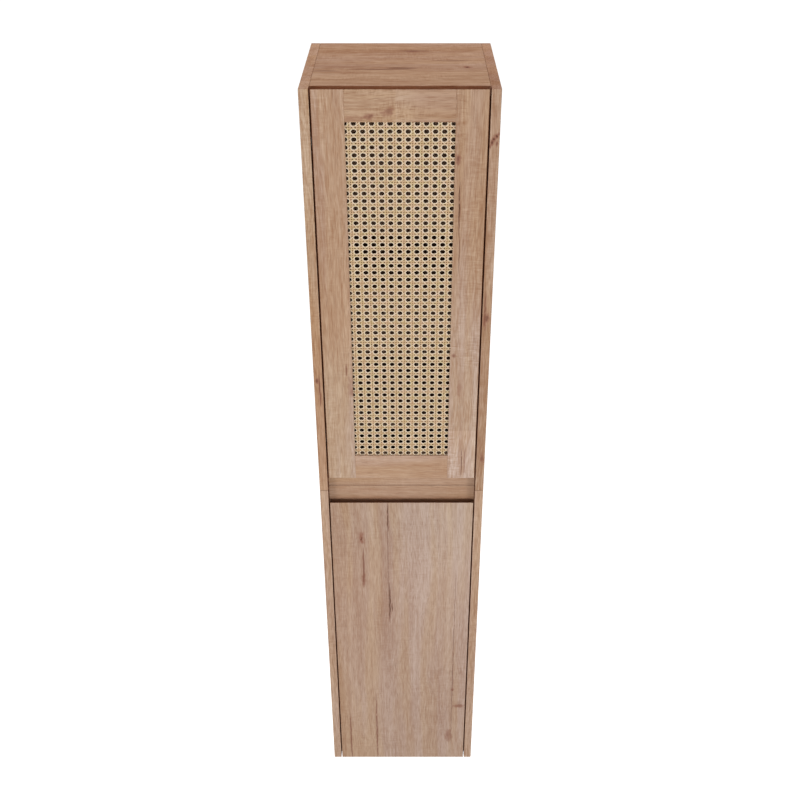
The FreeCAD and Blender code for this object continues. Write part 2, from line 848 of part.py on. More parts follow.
def hinge_cuts(label, box, part):
    """The pockets and screw holes for one door's hinges, in the side panel or in the door."""
    hinge_side = HINGE_SIDES[part]
    cuts = []
    for index, level in enumerate(hinge_levels(box)):
        cuts.append(leaf_form(f"{label}_pocket_{index}", hinge_side, level, "pocket_play", OVERRUN))
        bore_x = hinge_side["levels"](hinge_side["screw_length"] + " + end_play")
        for end, z in enumerate(leaf_screw_levels(level)):
            bore_name = f"{label}_leaf_screw_{index}_{end}"
            cuts.append(rod_x(bore_name, "leaf_screw_radius + fit_play", bore_x, "leaf_middle", z))
    return cuts


# Door edges, catches and buffers

def bevel(name, level, door_lies):
    """The wedge that bevels a door's end towards its back; the door lies below or above the level."""
    item = document.addObject("Part::Wedge", name)
    reach = f"(door_thick + {OVERRUN} - bevel_land)"
    depth = f"bevel_drop * {reach} / (door_thick - bevel_land)"
    bind(
        item,
        Xmin=f"door_left - {OVERRUN}",
        Xmax=f"door_right + {OVERRUN}",
        X2min=f"door_left - {OVERRUN}",
        X2max=f"door_right + {OVERRUN}",
        Ymin="front + bevel_land",
        Ymax=f"door_back + {OVERRUN}",
    )
    if door_lies == "below":
        bind(item, Zmin=level, Z2min=f"{level} - {depth}", Zmax=f"{level} + {OVERRUN}")
        bind(item, Z2max=f"{level} + {OVERRUN}")
    else:
        bind(item, Zmin=f"{level} - {OVERRUN}", Z2min=f"{level} - {OVERRUN}", Zmax=level)
        bind(item, Z2max=f"{level} + {depth}")
    return item


def strike_recess(name, box_name):
    span = ("door_back - strike_thick", f"door_back + {OVERRUN}")
    return rod_y(name, "strike_radius + fit_play", "catch_x", span, CATCH_LEVEL[box_name])


def catches():
    magnets, buffers = [], []
    magnet_y = ("magnet_front", "magnet_front + magnet_length")
    buffer_y = ("carcass_front - buffer_gap + buffer_clear", "carcass_front")
    buffer_columns = ("inner_left + buffer_inset", "inner_right - buffer_inset")
    buffer_levels = list(CATCH_LEVEL.values()) + ["bottom + board / 2"]
    for box_name, level in CATCH_LEVEL.items():
        magnets.append(rod_y(f"magnet_{box_name}", "magnet_radius", "catch_x", magnet_y, level))
        strike_y = ("door_back - strike_thick", "door_back")
        strike = rod_y(f"{box_name}_strike", "strike_radius", "catch_x", strike_y, level)
        keep(strike, f"{box_name}_strike")
    for row, level in enumerate(buffer_levels):
        for column, x in enumerate(buffer_columns):
            buffers.append(rod_y(f"buffer_{row}_{column}", "buffer_radius", x, buffer_y, level))
    group("magnet_catches", magnets)
    group("door_buffers", buffers)


# Upper door: a frame round the cane panel

def frame_dowel_levels():
    return {
        "bottom": ("upper_door_foot + frame_dowel_near", "upper_door_foot + frame_dowel_far"),
        "top": ("top - frame_dowel_near", "top - frame_dowel_far"),
    }


def frame_dowel_x(side, play):
    middle = "opening_left" if side == "left" else "opening_right"
    return (f"{middle} - frame_dowel_half - {play}", f"{middle} + frame_dowel_half + {play}")


def frame_dowel(name, side, level, radius, play):
    return rod_x(name, radius, frame_dowel_x(side, play), "frame_middle", level)


def brad_places():
    """Each pin that holds a bead: its direction, start and the point where it enters the bead."""
    places = []
    for index in range(SIDE_BRADS):
        z = f"opening_low + (opening_high - (opening_low)) * {(index + 0.5) / SIDE_BRADS}"
        places.append(("x", ("opening_left - brad_length", "opening_left"), z))
        places.append(("x", ("opening_right", "opening_right + brad_length"), z))
    for index in range(END_BRADS):
        x = f"opening_left + opening_width * {(index + 0.5) / END_BRADS}"
        places.append(("z", ("opening_low - brad_length", "opening_low"), x))
        places.append(("z", ("opening_high", "opening_high + brad_length"), x))
    return places


def brad(name, radius, direction, span, across):
    depth = "cane_back + bead_depth / 2"
    if direction == "x":
        return rod_x(name, radius, span, depth, across)
    return rod_z(name, radius, across, depth, span)


def frame_member(label, x, z, cuts):
    blank = board(label + "_blank", x, ("front", "door_back"), z)
    keep(carve(label, blank, cuts), label)


def door_frame():
    seat = block(
        "cane_seat",
        ("seat_left", "seat_right"),
        ("cane_front", f"door_back + {OVERRUN}"),
        ("seat_low", "seat_high"),
    )
    bevels = [
        bevel("upper_door_top_bevel", "top", "below"),
        bevel("upper_door_grip_bevel", "upper_door_foot", "above"),
    ]
    brad_bores = {"x": [], "z": []}
    for index, (direction, span, across) in enumerate(brad_places()):
        bore = brad(f"brad_bore_{index}", "brad_radius + fit_play", direction, span, across)
        brad_bores[direction].append(bore)
    dowel_bores = {"left": [], "right": []}
    for side, bores in dowel_bores.items():
        for end, levels in frame_dowel_levels().items():
            for index, level in enumerate(levels):
                name = f"frame_bore_{side}_{end}_{index}"
                bores.append(frame_dowel(name, side, level, "dowel_radius + fit_play", "end_play"))
    all_dowel_bores = dowel_bores["left"] + dowel_bores["right"]
    full = ("upper_door_foot", "top")
    shared = [seat] + bevels
    hinge_stile_cuts = shared + dowel_bores["left"] + brad_bores["x"]
    hinge_stile_cuts += hinge_cuts("hinge_stile", BOXES["upper"], "door")
    frame_member("hinge_stile", ("door_left", "opening_left"), full, hinge_stile_cuts)
    free_stile_cuts = shared + dowel_bores["right"] + brad_bores["x"]
    free_stile_cuts.append(strike_recess("upper_strike_recess", "upper"))
    frame_member("free_stile", ("opening_right", "door_right"), full, free_stile_cuts)
    rail_x = ("opening_left", "opening_right")
    rail_cuts = shared + all_dowel_bores + brad_bores["z"]
    frame_member("door_top_rail", rail_x, ("opening_high", "top"), rail_cuts)
    frame_member("door_bottom_rail", rail_x, ("upper_door_foot", "opening_low"), rail_cuts)
    dowels = []
    for side in dowel_bores:
        for end, levels in frame_dowel_levels().items():
            for index, level in enumerate(levels):
                name = f"frame_dowel_{side}_{end}_{index}"
                dowels.append(frame_dowel(name, side, level, "dowel_radius", "0"))
    group("frame_dowels", dowels)
    cane_beads(brad_bores)


def cane_beads(brad_bores):
    """The strips behind the cane, and the pins that hold them."""
    depth = ("cane_back", "cane_back + bead_depth")
    tall = ("seat_low + bead_play", "seat_high - bead_play")
    left_x = ("seat_left + bead_play", "opening_left")
    right_x = ("opening_right", "seat_right - bead_play")
    between = ("opening_left + bead_play", "opening_right - bead_play")
    beads = {
        "left_bead": (left_x, tall, "x"),
        "right_bead": (right_x, tall, "x"),
        "bottom_bead": (between, ("seat_low + bead_play", "opening_low"), "z"),
        "top_bead": (between, ("opening_high", "seat_high - bead_play"), "z"),
    }
    for label, (x, z, direction) in beads.items():
        blank = block(label + "_blank", x, depth, z)
        keep(carve(label, blank, brad_bores[direction]), label)
    brads = [
        brad(f"brad_{index}", "brad_radius", direction, span, across)
        for index, (direction, span, across) in enumerate(brad_places())
    ]
    group("bead_pins", brads)


def octagon(x, z, across_flats):
    corner = across_flats / 2 / math.cos(math.pi / 8)
    points = []
    for index in range(8):
        angle = math.pi / 8 + index * math.pi / 4
        points.append(FreeCAD.Vector(x + corner * math.cos(angle), 0, z + corner * math.sin(angle)))
    return Part.makePolygon(points + points[:1])


def cane_panel():
    """The cane as one flat net, with eight-sided gaps spread over the door's opening."""
    opening_width = sheet.width - 2 * (sheet.board + sheet.side_gap + sheet.frame_width)
    opening_height = sheet.box_height - sheet.grip_gap - 2 * sheet.frame_width
    half_width = opening_width / 2 + sheet.cane_rebate - sheet.cane_play
    half_height = opening_height / 2 + sheet.cane_rebate - sheet.cane_play
    corners = [(-half_width, -half_height), (half_width, -half_height)]
    corners += [(half_width, half_height), (-half_width, half_height)]
    outline = [FreeCAD.Vector(x, 0, z) for x, z in corners]
    wires = [Part.makePolygon(outline + outline[:1])]
    columns = int(opening_width // sheet.cane_pitch)
    rows = int(opening_height // sheet.cane_pitch)
    for column in range(columns):
        for row in range(rows):
            x = (column - (columns - 1) / 2) * sheet.cane_pitch
            z = (row - (rows - 1) / 2) * sheet.cane_pitch
            wires.append(octagon(x, z, sheet.cane_gap))
    net = Part.makeFace(wires, "Part::FaceMakerBullseye")
    panel = document.addObject("Part::Feature", "cane_panel")
    panel.Shape = net.extrude(FreeCAD.Vector(0, sheet.cane_thick, 0))
    place(panel, "0", "cane_front", "(opening_low + opening_high) / 2")
    keep(panel, "cane_panel")
    print("cane gaps:", columns * rows)


# Lower door: a plain slab

def lower_door():
    cuts = hinge_cuts("lower_door_panel", BOXES["lower"], "door")
    cuts.append(bevel("lower_door_bevel", "lower_door_head", "below"))
    cuts.append(strike_recess("lower_strike_recess", "lower"))
    z = ("bottom", "lower_door_head")
    blank = board("lower_door_blank", ("door_left", "door_right"), ("front", "door_back"), z)
    keep(carve("lower_door_panel", blank, cuts), "lower_door_panel")


# The whole cabinet

def cabinet():
    for box_name in BOXES:
        for side in ("left", "right"):
            side_panel(box_name, side)
        grip_rail(box_name)
        back_panel(box_name)
        wall_rail(box_name)
        for index, _ in enumerate(SHELF_NAMES):
            shelf(box_name, index)
    cross_panel("top_panel", "upper", "head", "carcass_front")
    cross_panel("bottom_panel", "lower", "foot", "carcass_front")
    cross_panel("upper_floor_panel", "upper", "foot", "rail_back")
    cross_panel("lower_ceiling_panel", "lower", "head", "rail_back")
    shelf_pins()
    carcass_dowels()
    cam_fittings()
    joining_fasteners()
    hanger_hardware()
    catches()
    door_frame()
    cane_panel()
    lower_door()
    group("cabinet_leaf_screws", hinges("upper") + hinges("lower"))


def check_document():
    for item in document.Objects:
        if "Invalid" in item.State or "Error" in item.State:
            raise RuntimeError(f"{item.Label} failed: {item.State}")
    for piece in pieces:
        if piece.Shape.isNull() or not piece.Shape.isValid() or not piece.Shape.Solids:
            raise RuntimeError(f"{piece.Label} has no valid solid")


cabinet()
document.recompute()
check_document()
os.makedirs("parts", exist_ok=True)
for piece in pieces:
    piece.Shape.exportStep(f"parts/{piece.Label}.step")
print("pieces:", len(pieces), "solids:", sum(len(piece.Shape.Solids) for piece in pieces))
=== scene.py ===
import math

import bpy
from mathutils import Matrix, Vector


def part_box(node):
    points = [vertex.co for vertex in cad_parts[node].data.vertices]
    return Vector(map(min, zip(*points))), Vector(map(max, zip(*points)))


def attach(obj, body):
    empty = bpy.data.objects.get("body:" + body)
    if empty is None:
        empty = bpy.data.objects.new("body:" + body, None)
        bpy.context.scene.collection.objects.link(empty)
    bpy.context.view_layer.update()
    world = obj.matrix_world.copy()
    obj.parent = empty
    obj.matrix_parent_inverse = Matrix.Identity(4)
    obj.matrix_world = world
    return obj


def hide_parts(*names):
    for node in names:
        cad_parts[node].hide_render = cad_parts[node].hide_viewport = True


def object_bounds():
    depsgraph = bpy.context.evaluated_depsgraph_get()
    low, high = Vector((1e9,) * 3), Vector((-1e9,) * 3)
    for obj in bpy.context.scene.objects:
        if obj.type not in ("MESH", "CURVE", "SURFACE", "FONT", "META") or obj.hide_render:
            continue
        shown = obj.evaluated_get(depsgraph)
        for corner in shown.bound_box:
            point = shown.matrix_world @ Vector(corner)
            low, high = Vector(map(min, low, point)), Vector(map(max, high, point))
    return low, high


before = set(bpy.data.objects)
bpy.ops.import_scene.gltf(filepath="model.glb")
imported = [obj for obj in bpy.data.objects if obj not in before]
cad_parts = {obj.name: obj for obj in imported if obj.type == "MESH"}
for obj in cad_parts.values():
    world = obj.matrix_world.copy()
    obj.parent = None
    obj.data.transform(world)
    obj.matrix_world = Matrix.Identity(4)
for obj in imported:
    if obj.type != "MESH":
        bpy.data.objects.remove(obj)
cad_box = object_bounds()

MM = 0.001

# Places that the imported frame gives
cabinet_low, cabinet_high = cad_box
front = cabinet_low[1]
top = cabinet_high[2]
bottom = cabinet_low[2]
cane_low, cane_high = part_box("cane_panel")
cane_middle = (cane_low + cane_high) / 2
opening_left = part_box("hinge_stile")[1].x
side_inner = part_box("upper_right_side")[0].x
carcass_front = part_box("upper_grip_rail")[0].y
panel_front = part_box("top_panel")[0].y
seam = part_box("upper_grip_rail")[0].z
door_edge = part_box("lower_door_panel")[1].x
lower_door_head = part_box("lower_door_panel")[1].z


# Node helpers

def feed(tree, socket, value):
    """Links a socket to another one, or gives it a fixed value."""
    if isinstance(value, bpy.types.NodeSocket):
        tree.links.new(value, socket)
    else:
        socket.default_value = value


def work_out(tree, operation, first, second=0.5, clamp=False):
    node = tree.nodes.new("ShaderNodeMath")
    node.operation = operation
    node.use_clamp = clamp
    feed(tree, node.inputs[0], first)
    feed(tree, node.inputs[1], second)
    return node.outputs[0]


def off_from(tree, place, middle):
    """How far a place is from a middle, on either side."""
    return work_out(tree, "ABSOLUTE", work_out(tree, "SUBTRACT", place, middle))


def swing(tree, value, strength):
    """A value from nought to one, made to swing about nought."""
    return work_out(tree, "MULTIPLY", work_out(tree, "SUBTRACT", value, 0.5), strength)


def work_out_vectors(tree, operation, first, second):
    node = tree.nodes.new("ShaderNodeVectorMath")
    node.operation = operation
    feed(tree, node.inputs[0], first)
    feed(tree, node.inputs[1], second)
    return node.outputs[0]


def noise(tree, vector, scale, detail=2.0, roughness=0.5, distortion=0.0):
    node = tree.nodes.new("ShaderNodeTexNoise")
    feed(tree, node.inputs["Vector"], vector)
    node.inputs["Scale"].default_value = scale
    node.inputs["Detail"].default_value = detail
    node.inputs["Roughness"].default_value = roughness
    node.inputs["Distortion"].default_value = distortion
    return node.outputs["Fac"]


def drawn_noise(tree, vector, scales, detail=2.0, roughness=0.5, distortion=0.0):
    """Noise that is drawn out, with a scale of its own along each axis."""
    drawn = work_out_vectors(tree, "MULTIPLY", vector, scales)
    return noise(tree, drawn, 1.0, detail, roughness, distortion)


def spread(tree, value, from_low, from_high, to_low=0.0, to_high=1.0, kind="SMOOTHSTEP"):
    node = tree.nodes.new("ShaderNodeMapRange")
    node.interpolation_type = kind
    feed(tree, node.inputs["Value"], value)
    feed(tree, node.inputs["From Min"], from_low)
    feed(tree, node.inputs["From Max"], from_high)
    feed(tree, node.inputs["To Min"], to_low)
    feed(tree, node.inputs["To Max"], to_high)
    return node.outputs["Result"]


def roughen(tree, value, rough_low, rough_high):
    """Roughness that follows the middle range of a noise."""
    return spread(tree, value, 0.3, 0.7, rough_low, rough_high, "LINEAR")


def blend_colours(tree, share, first, second, kind="MIX"):
    node = tree.nodes.new("ShaderNodeMix")
    node.data_type = "RGBA"
    node.blend_type = kind
    feed(tree, node.inputs["Factor"], share)
    feed(tree, node.inputs["A"], first)
    feed(tree, node.inputs["B"], second)
    return node.outputs["Result"]


def split(tree, vector):
    node = tree.nodes.new("ShaderNodeSeparateXYZ")
    feed(tree, node.inputs[0], vector)
    return node.outputs["X"], node.outputs["Y"], node.outputs["Z"]


def gather(tree, x, y, z):
    node = tree.nodes.new("ShaderNodeCombineXYZ")
    feed(tree, node.inputs["X"], x)
    feed(tree, node.inputs["Y"], y)
    feed(tree, node.inputs["Z"], z)
    return node.outputs[0]


def new_group(name, inputs, outputs):
    """A shader node group, with its inputs as (label, kind, start) and its outputs as (label, kind)."""
    group = bpy.data.node_groups.new(name, "ShaderNodeTree")
    for label, kind, start in inputs:
        socket = group.interface.new_socket(label, in_out="INPUT", socket_type=kind)
        socket.default_value = start
    for label, kind in outputs:
        group.interface.new_socket(label, in_out="OUTPUT", socket_type=kind)
    entry = group.nodes.new("NodeGroupInput")
    leave = group.nodes.new("NodeGroupOutput")
    return group, entry.outputs, leave.inputs


def use_group(tree, group, **values):
    node = tree.nodes.new("ShaderNodeGroup")
    node.node_tree = group
    for label, value in values.items():
        feed(tree, node.inputs[label], value)
    return node.outputs


def new_material(name):
    material = bpy.data.materials.new(name)
    material.use_nodes = True
    tree = material.node_tree
    return material, tree, tree.nodes["Principled BSDF"].inputs


def place_on_piece(tree):
    return tree.nodes.new("ShaderNodeTexCoord").outputs["Object"]


def bump(tree, shader, height, strength, distance):
    node = tree.nodes.new("ShaderNodeBump")
    node.inputs["Strength"].default_value = strength
    node.inputs["Distance"].default_value = distance
    feed(tree, node.inputs["Height"], height)
    feed(tree, shader["Normal"], node.outputs["Normal"])


# The sockets that the groups share
PLACE_SOCKET = ("Place", "NodeSocketVector", (0.0, 0.0, 0.0))
GRAIN_SOCKET = ("Grain", "NodeSocketVector", (0.0, 0.0, 0.0))
CENTRE_SOCKET = ("Centre", "NodeSocketVector", (0.0, 0.0, 0.0))
COLOUR_SOCKET = ("Colour", "NodeSocketColor", (0.5, 0.33, 0.22, 1.0))
COLOUR_RESULT = ("Colour", "NodeSocketColor")
MASK_RESULT = ("Mask", "NodeSocketFloat")
FINISH_RESULTS = [COLOUR_RESULT, ("Roughness", "NodeSocketFloat"), ("Height", "NodeSocketFloat")]


# Oak decor: scales of its parts per metre, across, through and along the grain
BEND_SCALES = (4.0, 4.0, 2.6)
BAND_SCALES = (17.0, 17.0, 1.1)
STREAK_SCALES = (150.0, 150.0, 4.5)
FIBRE_SCALES = (480.0, 480.0, 36.0)
PORE_SCALES = (900.0, 900.0, 34.0)
FLECK_SCALES = (45.0, 45.0, 260.0)
FLECK_PATCH_SCALES = (22.0, 22.0, 9.0)
CAST_SCALES = (30.0, 30.0, 2.0)
BEND_REACH = 30.0 * MM
BAND_STRENGTH = 1.6
STREAK_STRENGTH = 1.9
FIBRE_STRENGTH = 2.0
PORE_STRENGTH = 0.35
PORE_DEPTH = 0.8
PORE_COLOUR = (0.22, 0.11, 0.065, 1.0)
WARM_CAST = (1.005, 0.978, 0.930, 1.0)
GREY_CAST = (1.005, 1.008, 1.065, 1.0)


def oak_decor():
    """Bands, streaks, fibres, pores and cross figure, with the grain along the group's Z."""
    group, given, result = new_group(
        "oak_decor",
        [
            GRAIN_SOCKET,
            ("Light", "NodeSocketColor", (0.5, 0.33, 0.22, 1.0)),
            ("Dark", "NodeSocketColor", (0.38, 0.22, 0.14, 1.0)),
            ("Contrast", "NodeSocketFloat", 1.0),
            ("Fleck", "NodeSocketFloat", 1.0),
        ],
        FINISH_RESULTS,
    )
    grain = given["Grain"]
    bend = swing(group, drawn_noise(group, grain, BEND_SCALES), BEND_REACH)
    bent = work_out_vectors(group, "ADD", grain, gather(group, bend, bend, 0.0))
    bands = drawn_noise(group, bent, BAND_SCALES)
    streaks = drawn_noise(group, bent, STREAK_SCALES, detail=4.0, roughness=0.75)
    fibres = drawn_noise(group, bent, FIBRE_SCALES, roughness=0.6)
    pores = drawn_noise(group, bent, PORE_SCALES, detail=1.0)
    patches = drawn_noise(group, bent, FLECK_PATCH_SCALES, detail=1.0)
    flecks = drawn_noise(group, bent, FLECK_SCALES, detail=3.0, roughness=0.6, distortion=0.6)
    flecks = swing(group, flecks, spread(group, patches, 0.42, 0.62))
    tone = swing(group, bands, BAND_STRENGTH)
    tone = work_out(group, "ADD", tone, swing(group, streaks, STREAK_STRENGTH))
    tone = work_out(group, "ADD", tone, swing(group, fibres, FIBRE_STRENGTH))
    tone = work_out(group, "ADD", tone, work_out(group, "MULTIPLY", flecks, given["Fleck"]))
    tone = work_out(group, "MULTIPLY", tone, given["Contrast"])
    tone = work_out(group, "ADD", tone, 0.5, clamp=True)
    colour = blend_colours(group, tone, given["Dark"], given["Light"])
    leaning = spread(group, drawn_noise(group, bent, CAST_SCALES), 0.38, 0.62)
    cast = blend_colours(group, leaning, WARM_CAST, GREY_CAST)
    colour = blend_colours(group, 1.0, colour, cast, "MULTIPLY")
    pore_mask = spread(group, pores, 0.58, 0.72)
    colour = blend_colours(group, work_out(group, "MULTIPLY", pore_mask, PORE_STRENGTH), colour, PORE_COLOUR)
    height = work_out(group, "SUBTRACT", fibres, work_out(group, "MULTIPLY", pore_mask, PORE_DEPTH))
    feed(group, result["Colour"], colour)
    feed(group, result["Roughness"], roughen(group, fibres, 0.64, 0.5))
    feed(group, result["Height"], height)
    return group


# Cracks and knots: how deep, how wide and how uneven they are
MARK_DEPTH = 7.0 * MM
CRACK_BEND_SCALES = (2.0, 2.0, 40.0)
CRACK_BREAK_SCALES = (30.0, 30.0, 70.0)
CRACK_BEND_REACH = 4.0 * MM
CRACK_STAIN_WIDTH = 3.5
LEAST_CRACK_WIDTH = 0.01 * MM
KNOT_EDGE_SCALES = (150.0, 150.0, 80.0)
KNOT_EDGE_REACH = 1.8


def mark_group(name, length, width, second_result):
    """The sockets that a crack and a knot have alike."""
    return new_group(
        name,
        [
            GRAIN_SOCKET,
            CENTRE_SOCKET,
            ("Length", "NodeSocketFloat", length),
            ("Width", "NodeSocketFloat", width),
        ],
        [MASK_RESULT, (second_result, "NodeSocketFloat")],
    )


def oak_crack():
    """A thin tapering line along the grain, with a reddish stain round it."""
    group, given, result = mark_group("oak_crack", 0.1, 0.003, "Stain")
    grain = given["Grain"]
    bend = swing(group, drawn_noise(group, grain, CRACK_BEND_SCALES), CRACK_BEND_REACH)
    breaks = drawn_noise(group, grain, CRACK_BREAK_SCALES)
    across, through, along = split(group, work_out_vectors(group, "SUBTRACT", grain, given["Centre"]))
    shallow = spread(group, work_out(group, "ABSOLUTE", through), MARK_DEPTH, 0.4 * MARK_DEPTH)
    off_line = work_out(group, "ABSOLUTE", work_out(group, "ADD", across, bend))
    reach = work_out(group, "DIVIDE", along, work_out(group, "MULTIPLY", given["Length"], 0.5))
    taper = work_out(group, "SUBTRACT", 1.0, work_out(group, "MULTIPLY", reach, reach), clamp=True)
    width = work_out(group, "ADD", work_out(group, "MULTIPLY", given["Width"], taper), LEAST_CRACK_WIDTH)
    stain_width = work_out(group, "MULTIPLY", width, CRACK_STAIN_WIDTH)
    line = work_out(group, "SUBTRACT", 1.0, work_out(group, "DIVIDE", off_line, width), clamp=True)
    stain = work_out(group, "SUBTRACT", 1.0, work_out(group, "DIVIDE", off_line, stain_width), clamp=True)
    mask = work_out(group, "MULTIPLY", spread(group, line, 0.0, 0.5), spread(group, breaks, 0.30, 0.42))
    feed(group, result["Mask"], work_out(group, "MULTIPLY", mask, shallow))
    feed(group, result["Stain"], work_out(group, "MULTIPLY", spread(group, stain, 0.0, 1.0), shallow))
    return group


def oak_knot():
    """An uneven oval patch with a darker heart."""
    group, given, result = mark_group("oak_knot", 0.05, 0.02, "Heart")
    grain = given["Grain"]
    edge = drawn_noise(group, grain, KNOT_EDGE_SCALES, detail=3.0, roughness=0.6)
    edge = swing(group, edge, KNOT_EDGE_REACH)
    across, through, along = split(group, work_out_vectors(group, "SUBTRACT", grain, given["Centre"]))
    over = work_out(group, "DIVIDE", across, work_out(group, "MULTIPLY", given["Width"], 0.5))
    up = work_out(group, "DIVIDE", along, work_out(group, "MULTIPLY", given["Length"], 0.5))
    deep = work_out(group, "DIVIDE", through, MARK_DEPTH)
    over = work_out(group, "MULTIPLY", over, over)
    up = work_out(group, "MULTIPLY", up, up)
    deep = work_out(group, "MULTIPLY", deep, deep)
    reach = work_out(group, "SQRT", work_out(group, "ADD", work_out(group, "ADD", over, up), deep))
    reach = work_out(group, "ADD", reach, edge)
    feed(group, result["Mask"], spread(group, reach, 1.1, 0.3))
    feed(group, result["Heart"], spread(group, reach, 0.45, 0.1))
    return group


def tone_drift():
    """A slow change of a board's tone from one place to another."""
    group, given, result = new_group(
        "tone_drift",
        [
            COLOUR_SOCKET,
            ("Place", "NodeSocketFloat", 0.0),
            ("Start", "NodeSocketFloat", 0.0),
            ("End", "NodeSocketFloat", 1.0),
            ("First", "NodeSocketColor", (1.0, 1.0, 1.0, 1.0)),
            ("Last", "NodeSocketColor", (1.0, 1.0, 1.0, 1.0)),
        ],
        [COLOUR_RESULT],
    )
    share = spread(group, given["Place"], given["Start"], given["End"])
    tone = blend_colours(group, share, given["First"], given["Last"])
    feed(group, result["Colour"], blend_colours(group, 1.0, given["Colour"], tone, "MULTIPLY"))
    return group


# Painted shade: dark where boards meet, in the gaps beside the doors, behind the doors and in the grip
# recess; and a paler tone at the free stile's foot
# Painted shade for the gaps beside the doors, on the side panels' inner faces and the doors' edges
REVEAL_PAINTED_SHADE = (0.280, 0.140, 0.080, 1.0)
# Painted shade on the lower grip rail, behind and just above the lower door's head
RECESS_PAINTED_SHADE = (0.590, 0.455, 0.380, 1.0)
# Painted shade for the inner faces, as dark as the inside
INSIDE_PAINTED_SHADE = (0.600, 0.555, 0.530, 1.0)
# Painted shade for the line where the upper box stands on the lower one
SEAM_PAINTED_SHADE = (0.12, 0.06, 0.035, 1.0)
# Painted shade on the top panel's front arris, in the groove behind the upper door
TOP_GAP_PAINTED_SHADE = (0.95, 0.70, 0.57, 1.0)
PALE_FOOT_TONE = (1.11, 1.13, 1.15, 1.0)
PALE_FOOT_TOP = -208.0 * MM
SIDE_SEAM_STRENGTH = 0.45
GRIP_SEAM_STRENGTH = 0.6
RECESS_STRENGTH = 0.95
# How far in from the doors' edges their painted shade reaches
SLAB_SHADE_REACH = 0.5 * MM
STILE_SHADE_REACH = 1.0 * MM

# Where each painted shade starts and where it is full, from the edge or face that it belongs to
SEAM_START, SEAM_FULL = 1.4 * MM, 0.5 * MM
FACE_START, FACE_FULL = 0.6 * MM, 0.4 * MM
SHADE_START, SHADE_FULL = 17.2 * MM, 17.6 * MM
ARRIS_START, ARRIS_FULL = 8.0 * MM, 4.0 * MM
CORNER_START, CORNER_FULL = 8.0 * MM, 0.9 * MM
UPPER_HEAD_START, UPPER_HEAD_FULL = 0.9 * MM, 0.6 * MM
LOWER_HEAD_START, LOWER_HEAD_FULL = 0.5 * MM, 0.3 * MM
RECESS_START, RECESS_FULL = 10.0 * MM, 12.0 * MM
REVEAL_SOFTNESS = 0.5 * MM
EDGE_SOFTNESS = 0.5 * MM
PALE_FOOT_SOFTNESS = 1.0 * MM


def shade_and_tone_group(name, *more):
    """A group that takes a board's colour and the place on it, and gives that colour darkened by painted
    shade or, at the free stile's foot, made paler.
    """
    group, given, result = new_group(name, [COLOUR_SOCKET, PLACE_SOCKET, *more], [COLOUR_RESULT])
    return group, given, result["Colour"]


def draw_seam(group, colour, z, strength):
    """The thin dark line of painted shade where the upper box stands on the lower one."""
    line = spread(group, off_from(group, z, seam), SEAM_START, SEAM_FULL, 0.0, strength)
    return blend_colours(group, line, colour, SEAM_PAINTED_SHADE)


def side_reveal():
    """The side panels' inner faces, with painted shade beside the doors and behind them, and the seam's line
    of painted shade.
    """
    group, given, result = shade_and_tone_group("side_reveal")
    x, y, z = split(group, given["Place"])
    off_centre = work_out(group, "ABSOLUTE", x)
    inner = spread(group, off_centre, side_inner + FACE_START, side_inner + FACE_FULL)
    beside_door = spread(group, y, carcass_front + REVEAL_SOFTNESS, carcass_front - REVEAL_SOFTNESS)
    # Painted shade: the gap's shade beside the doors, the inside's shade behind them
    shade = blend_colours(group, beside_door, INSIDE_PAINTED_SHADE, REVEAL_PAINTED_SHADE)
    colour = blend_colours(group, inner, given["Colour"], shade, "MULTIPLY")
    feed(group, result, draw_seam(group, colour, z, SIDE_SEAM_STRENGTH))
    return group


def panel_shade():
    """The top and bottom panels' inner faces, darkened as painted shade like the inside, and painted shade on
    the top's front arris.
    """
    group, given, result = shade_and_tone_group("panel_shade")
    y, z = split(group, given["Place"])[1:]
    half_height = (top - bottom) / 2
    off_middle = off_from(group, z, (top + bottom) / 2)
    inner = spread(group, off_middle, half_height - SHADE_START, half_height - SHADE_FULL)
    colour = blend_colours(group, inner, given["Colour"], INSIDE_PAINTED_SHADE, "MULTIPLY")
    # Painted shade on the top's front arris, in the groove behind the upper door
    edge = spread(group, y, panel_front + FACE_START, panel_front + FACE_FULL)
    arris = work_out(group, "MULTIPLY", edge, spread(group, z, top - ARRIS_START, top - ARRIS_FULL))
    feed(group, result, blend_colours(group, arris, colour, TOP_GAP_PAINTED_SHADE, "MULTIPLY"))
    return group


def door_edges():
    """The doors' edges, with painted shade for the gaps at their front corners and at the two doors' heads.
    """
    group, given, result = shade_and_tone_group("door_edges", ("Reach", "NodeSocketFloat", SLAB_SHADE_REACH))
    x, y, z = split(group, given["Place"])
    # Painted shade on the edges beside the gaps, near the front, and along both heads
    shaded_from = work_out(group, "SUBTRACT", door_edge, given["Reach"])
    unshaded_from = work_out(group, "SUBTRACT", shaded_from, EDGE_SOFTNESS)
    beside = spread(group, work_out(group, "ABSOLUTE", x), unshaded_from, shaded_from)
    corner = spread(group, y, front + CORNER_START, front + CORNER_FULL)
    beside = work_out(group, "MULTIPLY", beside, corner)
    upper_head = spread(group, z, top - UPPER_HEAD_START, top - UPPER_HEAD_FULL)
    off_head = off_from(group, z, lower_door_head)
    lower_head = spread(group, off_head, LOWER_HEAD_START, LOWER_HEAD_FULL)
    edge = work_out(group, "MAXIMUM", beside, work_out(group, "MAXIMUM", upper_head, lower_head))
    feed(group, result, blend_colours(group, edge, given["Colour"], REVEAL_PAINTED_SHADE, "MULTIPLY"))
    return group


